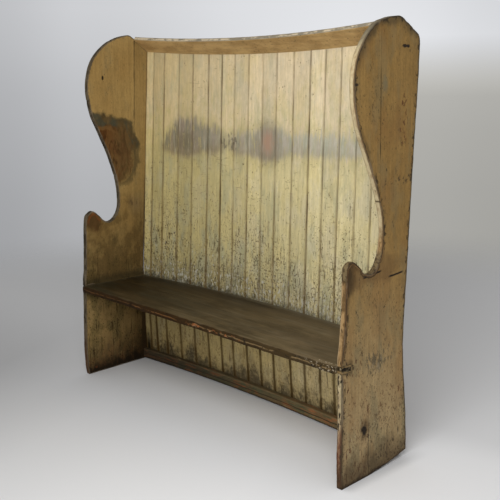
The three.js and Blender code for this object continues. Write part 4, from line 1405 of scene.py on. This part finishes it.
def makeSeatWood():
    f = newFinish("seatWood", seatWood)
    y = f.y + bench["middleY"]
    grain = f.noise(60, (0.03, 1, 1), 5, 0.65, 3.0, 0.6)
    long = f.noise(9, (0.08, 1, 1), 4, 0.6, 5.0, 0.8)
    mottle = f.noise(45, (0.3, 1, 1), 4, 0.68, 7.0)
    cloudy = f.noise(10, (0.6, 1, 1), 4, 0.6, 9.0)
    # dark on the left and lighter to the right: partly the wood's own wear, partly painted shade
    toRight = f.soft(f.x + (long - 0.5) * 0.4, -0.78, 0.88)
    f.colour = f.blend(toRight, "dark", "worn")
    f.lay(f.soft(grain + (cloudy - 0.5) * 0.5, 0.46, 0.72) * 0.55 * toRight, "grey")
    hazy = f.soft(f.noise(4.5, (0.6, 1.6, 1), 4, 0.62, 21.0), 0.42, 0.58)
    f.vary((-0.10 + long * 0.60 + grain * 0.70 + mottle * 0.85) * (0.76 + hazy * 0.38))
    hue = f.soft(f.noise(6, (0.4, 1.4, 1), 4, 0.62, 22.0), 0.46, 0.60)
    f.lay(hue * 0.35, f.choose(toRight, "hue"))
    # painted shade along the back of the seat
    f.lay(f.soft(y + (cloudy - 0.5) * 0.04, 0.24, 0.34) * 0.28, "black")
    sheen = f.flecks(75, (0.05, 1, 1), 0.75 + (cloudy - 0.5) * 1.5, 24.0, 0.10, 3)
    f.lay(sheen * 0.30, f.choose(toRight, "sheen"))
    scars = f.flecks(50, (0.10, 1, 1), 0.25, 17.0, 0.05, 3)
    f.lay(scars * 0.7, "black")
    # dirt piles up along the boards and the left end
    footY, footBow = walls["upper"]["foot"][1:]
    fromWall = footY + footBow - f.x * f.x * (footBow / bench["innerHalf"] ** 2) - y
    near = (mottle - 0.5) * 0.06 + (cloudy - 0.5) * 0.04
    byWall = f.fade(fromWall + near, 0.006, 0.034) * (0.55 + toRight * 0.25)
    byEnd = f.fade(f.x + bench["innerHalf"] + near, 0.004, 0.026) * 0.45
    f.lay(f.most(byWall, byEnd), f.choose(toRight, "dirt"))
    # the nosing: a dark rounding above, a thin worn line in its middle, and below it dark again, which is
    # painted shade
    nose = f.fade(y, -0.0120, -0.0075)
    middle = f.z - seat["topZ"] + seat["thickness"] * 0.50
    ragged = f.noise(38, (0.45, 1, 1), 4, 0.68, 11.0)
    level = f.size(middle + (ragged - 0.5) * 0.012)
    broken = f.soft(f.noise(34, (0.5, 1, 1), 4, 0.68, 12.0), 0.44, 0.52)
    under = f.choose(f.soft(f.x, -0.2, 0.9), "under")
    f.lay(nose * 0.92, f.shade(under, ragged * 2))
    line = f.fade(level, 0.0006, 0.0038) * nose * broken
    begins = f.soft(f.x + (ragged - 0.5) * 0.5, -0.42, -0.30)
    lineColour = f.choose(f.soft(f.x, -0.1, 0.25), "line")
    f.lay(line * (0.32 + begins * 0.35), lineColour)
    # rusty and pale chips in the middle, whitish ones at the right
    zone = f.soft(f.x, -0.04, 0.05) * f.fade(f.x, 0.24, 0.36)
    chips = f.flecks(62, (0.5, 1, 1), 1.20, 15.0, 0.05, 4) * nose * f.fade(level, 0.004, 0.009)
    chipColour = f.choose(f.soft(mottle, 0.50, 0.60), "chips")
    f.lay(chips * zone * 0.95, chipColour)
    flecks = f.flecks(120, (0.8, 1, 1), 0.92, 13.4, 0.06, 3) * f.fade(y, 0.004, 0.012)
    f.lay(flecks * f.soft(f.x, 0.58, 0.74) * 0.85, "pale")
    dents = f.flecks(70, (0.6, 1, 1), 0.55 + f.soft(f.x, 0.55, 0.72) * 0.45, 19.0, 0.04, 3) * nose
    f.lay(dents * 0.85, "black")
    ears = f.soft(f.size(f.x), bench["innerHalf"] - 0.001, bench["innerHalf"] + 0.001)
    # the ends of the ears are black dirt and chips above, painted over below
    blots = f.noise(90, (1, 1, 1), 4, 0.7, 23.0)
    gapLine = f.z - 0.430 + y * 0.16 + (blots - 0.5) * 0.026
    blot = f.choose(f.soft(blots, 0.47, 0.60), "blots")
    blot = f.blend(f.soft(blots, 0.60, 0.66), blot, "paleBlots")
    painted = f.shade("painted", 0.4 + mottle * 1.2)
    painted = f.blend(f.soft(f.size(gapLine), 0.006, 0.011), blot, painted)
    f.lay(ears, painted)
    rough = 0.40 + mottle * 0.25 + nose * 0.15
    return f.done(rough, grain * 0.6 + mottle * 0.2 - chips * 0.8 - scars * 0.4)


def makeSeat():
    # two planks with a seam between them, and the front one's ears in the notches of the ends
    wood = makeSeatWood()
    thickness, half = seat["thickness"], seat["seamGap"] / 2

    def plank(front, back):
        return np.array([
            (front, seatTop(front)),
            (front, seatTop(front) - thickness),
            (back, seatTop(back) - thickness),
            (back, seatTop(back)),
        ])

    def frontCorners(x):
        nose = seat["frontY"] + 0.0035 + float(wobble(np.array(x), 411, 0.0022, 0.5))
        return plank(nose, seat["seamY"] - half)

    def rearCorners(x):
        return plank(seat["seamY"] + half, wallY("upper", x, boards["upperFrom"]) - 0.0006)

    def earCorners(x):
        front, back = seat["earFront"], seat["earBack"]
        top = seatTop(0.02) - 0.0022
        low = top - seat["earDepth"]
        return np.array([(front, top), (front, low), (back, low), (back, top)])

    radii = (0.0095, 0.0035, 0.001, 0.0008)
    makeBar("seat_front_plank", frontCorners, radii, wood, ["seat_front_plank"], 0.45, 410)
    radii = (0.0008, 0.001, 0.001, 0.001)
    makeBar("seat_rear_plank", rearCorners, radii, wood, ["seat_rear_plank"], 0.2, 420)
    radii = (0.004, 0.003, 0.001, 0.001)
    for name, side in (("seat_ear_left", -1), ("seat_ear_right", 1)):
        xs = np.linspace(bench["innerHalf"] - 0.0002, bench["halfWidth"] - 0.0006, seat["earStations"])
        makeBar(name, earCorners, radii, wood, (), 0.3, 430, np.sort(side * xs))


makeSeat()
print("seat and top board made")

rails = {
    "gap": 0.0006,
    "bottomY": 0.324,
    "bottomBow": 0.038,
    "bottomLow": 0.005,
    "bottomHigh": 0.051,
    "bearerLow": 0.372,
    "bearerDepth": 0.024,
    "middleLow": 0.985,
    "middleHigh": 1.045,
    "middleDepth": 0.022,
}
railWood = {
    "brown": (0.120, 0.078, 0.036),
    "red": (0.165, 0.052, 0.018),
    "green": (0.070, 0.066, 0.032),
    "black": (0.018, 0.013, 0.008),
    "leftEnd": (0.036, 0.032, 0.020),
    "pale": (0.32, 0.22, 0.11),
    "crest": (0.24, 0.165, 0.080),
}


def makeRailWood():
    f = newFinish("railWood", railWood)
    grain = f.noise(150, (0.11, 1, 1), 4, 0.70, 3.0, 0.4)
    cloudy = f.noise(10, (0.35, 1, 1), 4, 0.62, 5.0)
    mottle = f.noise(60, (0.3, 1, 1), 4, 0.68, 7.0)
    # painted light and shade: the rail gets lighter towards the right and darker at its left end
    toRight = f.soft(f.x + (cloudy - 0.5) * 0.5, -0.75, 0.60)
    f.colour = f.blend(f.soft(cloudy, 0.42, 0.56), "brown", "green")
    f.lay((1 - toRight) * 0.7, "leftEnd")
    reddish = f.soft(grain + (mottle - 0.5) * 0.3, 0.48, 0.60)
    reddish = reddish * f.soft(f.noise(7, (0.6, 1, 1), 3, 0.6, 8.0), 0.44, 0.56)
    f.lay(reddish * 0.65, "red")
    f.vary((-0.20 + grain * 1.1 + mottle * 1.3) * (0.75 + toRight * 1.10))
    f.lay(f.flecks(60, (0.14, 1, 1), 0.35 + toRight * 0.3, 9.0, 0.05, 3) * 0.6, "pale")
    f.lay(f.soft(f.z + (cloudy - 0.5) * 0.010, 0.043, 0.049) * (0.15 + toRight * 0.3), "crest")
    f.lay(f.stripe(f.z - 0.026 + (cloudy - 0.5) * 0.014, 0.0008, 0.0035) * 0.75, "black")
    f.lay(f.fade(f.z + (cloudy - 0.5) * 0.012, 0.006, 0.014) * 0.85, "black")
    return f.done(0.50 + mottle * 0.3, grain * 0.6 + mottle * 0.2)


backWood = {
    "pine": ((0.25, 0.175, 0.10), (0.15, 0.10, 0.055)),
    "nail": (0.032, 0.026, 0.021),
    "nailZ": 1.015,
    "nailApart": 0.045,
}


def makeBackWood():
    f = newFinish("backWood", backWood)
    grain = f.noise(70, (0.04, 1, 1), 5, 0.62, 3.0, 0.4)
    mottle = f.noise(300, (0.2, 1, 1), 3, 0.6, 7.0)
    f.colour = f.choose(f.soft(grain, 0.4, 0.65), "pine")
    f.vary(0.75 + mottle * 0.4)
    # nail heads along the middle rail
    along = f.maths("PINGPONG", f.x, backWood["nailApart"])
    nail = f.fade((along ** 2 + (f.z - backWood["nailZ"]) ** 2) ** 0.5, 0.0030, 0.0038)
    f.lay(nail, "nail")
    return f.done(0.7 + mottle * 0.2, grain * 0.6 + mottle * 0.2 - nail)


def makeRails():
    def bottomCorners(x):
        low, high = rails["bottomLow"], rails["bottomHigh"]
        front = rails["bottomY"] + rails["bottomBow"] * bowShare(x)
        back = wallY("lower", x, high) - rails["gap"]
        return np.array([(front, high), (front, low), (back, low), (back, high)])

    def bearerCorners(x):
        low = rails["bearerLow"]
        back = wallY("lower", x, walls["lower"]["head"][0]) - rails["gap"]
        front = back - rails["bearerDepth"]
        frontTop, backTop = (seatTop(y) - seat["thickness"] - 0.0005 for y in (front, back))
        return np.array([(front, frontTop), (front, low), (back, low), (back, backTop)])

    def middleCorners(x):
        low, high, depth = rails["middleLow"], rails["middleHigh"], rails["middleDepth"]
        atLow, atHigh = (wallY("upper", x, z) + boards["thickness"] + 0.0008 for z in (low, high))
        return np.array([(atLow + depth, low), (atHigh + depth, high), (atHigh, high), (atLow, low)])

    wood = makeBackWood()
    for name, corners, radii, material, wander, seed in (
        ("bottom_rail", bottomCorners, (0.004, 0.0015, 0.001, 0.0015), makeRailWood(), 0.4, 500),
        ("seat_back_bearer", bearerCorners, (0.001, 0.0015, 0.001, 0.001), wood, 0.2, 510),
        ("back_middle_rail", middleCorners, (0.0025, 0.0025, 0.001, 0.001), wood, 0.3, 520),
    ):
        makeBar(name, corners, radii, material, [name], wander, seed)


makeRails()
print("rails made")

# ---- studio

studio = {
    "floorBack": 0.68,
    "floorReach": 4.5,
    "keyPlace": (1.5, -2.2, 2.4),
    "keyAim": (0.1, 0.1, 0.8),
    "keySize": 2.4,
    "keyPower": 70,
    "ambient": 0.47,
}
# How light the floor is in front of the bench, from its left to its right: painted light, darkest in a
# painted shadow band at the left
floorFront = [(-1.20, 0.44), (-0.86, 0.54), (-0.40, 0.68), (0.10, 0.77), (0.60, 0.85)]
# How light the paper behind the bench is, from below the horizon to above it, seen past its left
# and its right end. The first number is the height of the direction.
backdrop = {
    "left": [
        (-0.30, 0.352), (-0.279, 0.386), (-0.207, 0.423), (-0.135, 0.451), (-0.062, 0.497), (0.0115, 0.546),
        (0.084, 0.604),
    ],
    "right": [
        (-0.30, 0.386), (-0.207, 0.386), (-0.135, 0.397), (-0.062, 0.423), (-0.024, 0.451), (0.0115, 0.578),
        (0.048, 0.723), (0.084, 0.701),
    ],
}


def makeFloor():
    # paper that is lighter in front of the bench, and clears away far from it
    f = newFinish("floorPaper", {})
    y = f.y + bench["middleY"]
    beyond = y - 0.42 - f.x * 0.1875
    width = 1.2 - f.soft(f.x, -1.6, 0.6) * 0.95
    share = f.soft(beyond / width, -0.5, 0.5)
    back = studio["floorBack"] + f.soft(f.x, -1.4, 0.9, (-0.08, 0.08))
    front = f.parts(f.ramp(f.x + (y + 0.3) * 0.45, -1.20, 0.60, floorFront))[0]
    grey = front + share * (back - front) + (f.noise(700, detail=2) - 0.5) * 0.01
    # painted shadow: the paper is darker close beside the right foot
    beside = f.fade(f.x - 0.808 - y * 0.05, 0.0, 0.055) * f.soft(f.x, 0.806, 0.808)
    grey = grey * (1 - beside * f.soft(y, -0.02, 0.03) * f.fade(y, 0.30, 0.46) * 0.26)
    colour = f.add("ShaderNodeCombineXYZ", sockets={0: grey, 1: grey, 2: grey * 1.005})
    paper = f.add(
        "ShaderNodeBsdfPrincipled",
        sockets={"Base Color": colour, "Roughness": 0.9, "Specular IOR Level": 0.1},
    )
    clear = f.add("ShaderNodeBsdfTransparent")
    away = (f.x * f.x + f.y * f.y) ** 0.5
    fading = f.soft(away, 2.3, studio["floorReach"])
    mixed = f.add("ShaderNodeMixShader", sockets={0: fading, 1: paper, 2: clear})
    f.add("ShaderNodeOutputMaterial", sockets={"Surface": mixed})
    mesh = bpy.data.meshes.new("floor")
    reach = studio["floorReach"]
    corners = [(-reach, -reach, 0), (reach, -reach, 0), (reach, reach, 0), (-reach, reach, 0)]
    mesh.from_pydata(corners, [], [(0, 1, 2, 3)])
    mesh.materials.append(f.owner)
    floor = bpy.data.objects.new("floor", mesh)
    scene.collection.objects.link(floor)


def makeLight():
    lamp = bpy.data.lights.new("key", "AREA")
    lamp.shape, lamp.size, lamp.energy = "DISK", studio["keySize"], studio["keyPower"]
    key = bpy.data.objects.new("key", lamp)
    key.location = studio["keyPlace"]
    aim = Vector(studio["keyAim"]) - Vector(studio["keyPlace"])
    key.rotation_euler = aim.to_track_quat("-Z", "Y").to_euler()
    scene.collection.objects.link(key)


def makeWorld():
    # even light for the bench, and a soft grey gradient for the camera
    scene.world = bpy.data.worlds.new("studio")
    f = Finish(scene.world, {}, "Generated")
    across = f.x * math.cos(math.radians(view["yaw"])) + f.y * math.sin(math.radians(view["yaw"]))
    left, right = (f.ramp(f.z, -0.30, 0.084, backdrop[side]) for side in ("left", "right"))
    colour = f.blend(f.soft(across, -0.20, 0.20), left, right)
    side = 1 - f.soft(0 - across, 0.19, 0.30) * 0.165 - f.soft(across, 0.20, 0.30) * 0.06
    high = f.soft(f.z, -0.02, 0.05)
    behind = f.stripe(across - 0.05, 0.05, 0.25)
    grey = f.parts(colour)[0] * (side + high * behind * 0.10 + high * 0.03)
    tint = f.blend(f.soft(across, -0.10, 0.20) * (1 - high), (0.985, 1.0, 1.035), (1.015, 1.0, 0.94))
    even = f.add("ShaderNodeBackground", sockets={"Color": (1, 1, 1, 1), "Strength": studio["ambient"]})
    seen = f.add("ShaderNodeBackground", sockets={"Color": tint, "Strength": grey})
    camera = f.add("ShaderNodeLightPath", output="Is Camera Ray")
    mixed = f.add("ShaderNodeMixShader", sockets={0: camera, 1: even, 2: seen})
    f.add("ShaderNodeOutputWorld", sockets={"Surface": mixed})


# The camera is matched to the photograph
view = {
    "place": (2.5121, -2.0062, 1.4019),
    "yaw": 46.795,
    "pitch": -8.530,
    "roll": -1.008,
    "focal": 812.49,
    "centre": (250.69, 201.19),
    "frame": 500,
    "sensor": 36,
}


def makeCamera():
    yaw, pitch, roll = (math.radians(view[k]) for k in ("yaw", "pitch", "roll"))
    ahead = Vector((-math.sin(yaw) * math.cos(pitch), math.cos(yaw) * math.cos(pitch), math.sin(pitch)))
    right = Vector((math.cos(yaw), math.sin(yaw), 0))
    up = right.cross(ahead)
    turnedRight = right * math.cos(roll) + up * math.sin(roll)
    turnedUp = up * math.cos(roll) - right * math.sin(roll)
    lens = bpy.data.cameras.new("camera")
    lens.sensor_width = view["sensor"]
    lens.lens = view["focal"] / view["frame"] * view["sensor"]
    lens.shift_x = -(view["centre"][0] - view["frame"] / 2) / view["frame"]
    lens.shift_y = (view["centre"][1] - view["frame"] / 2) / view["frame"]
    camera = bpy.data.objects.new("camera", lens)
    turn = Matrix((turnedRight, turnedUp, -ahead)).transposed().to_4x4()
    camera.matrix_world = Matrix.Translation(Vector(view["place"]) - Vector((0, bench["middleY"], 0))) @ turn
    scene.collection.objects.link(camera)
    scene.camera = camera


makeFloor()
makeLight()
makeWorld()
makeCamera()
print("studio and camera set")
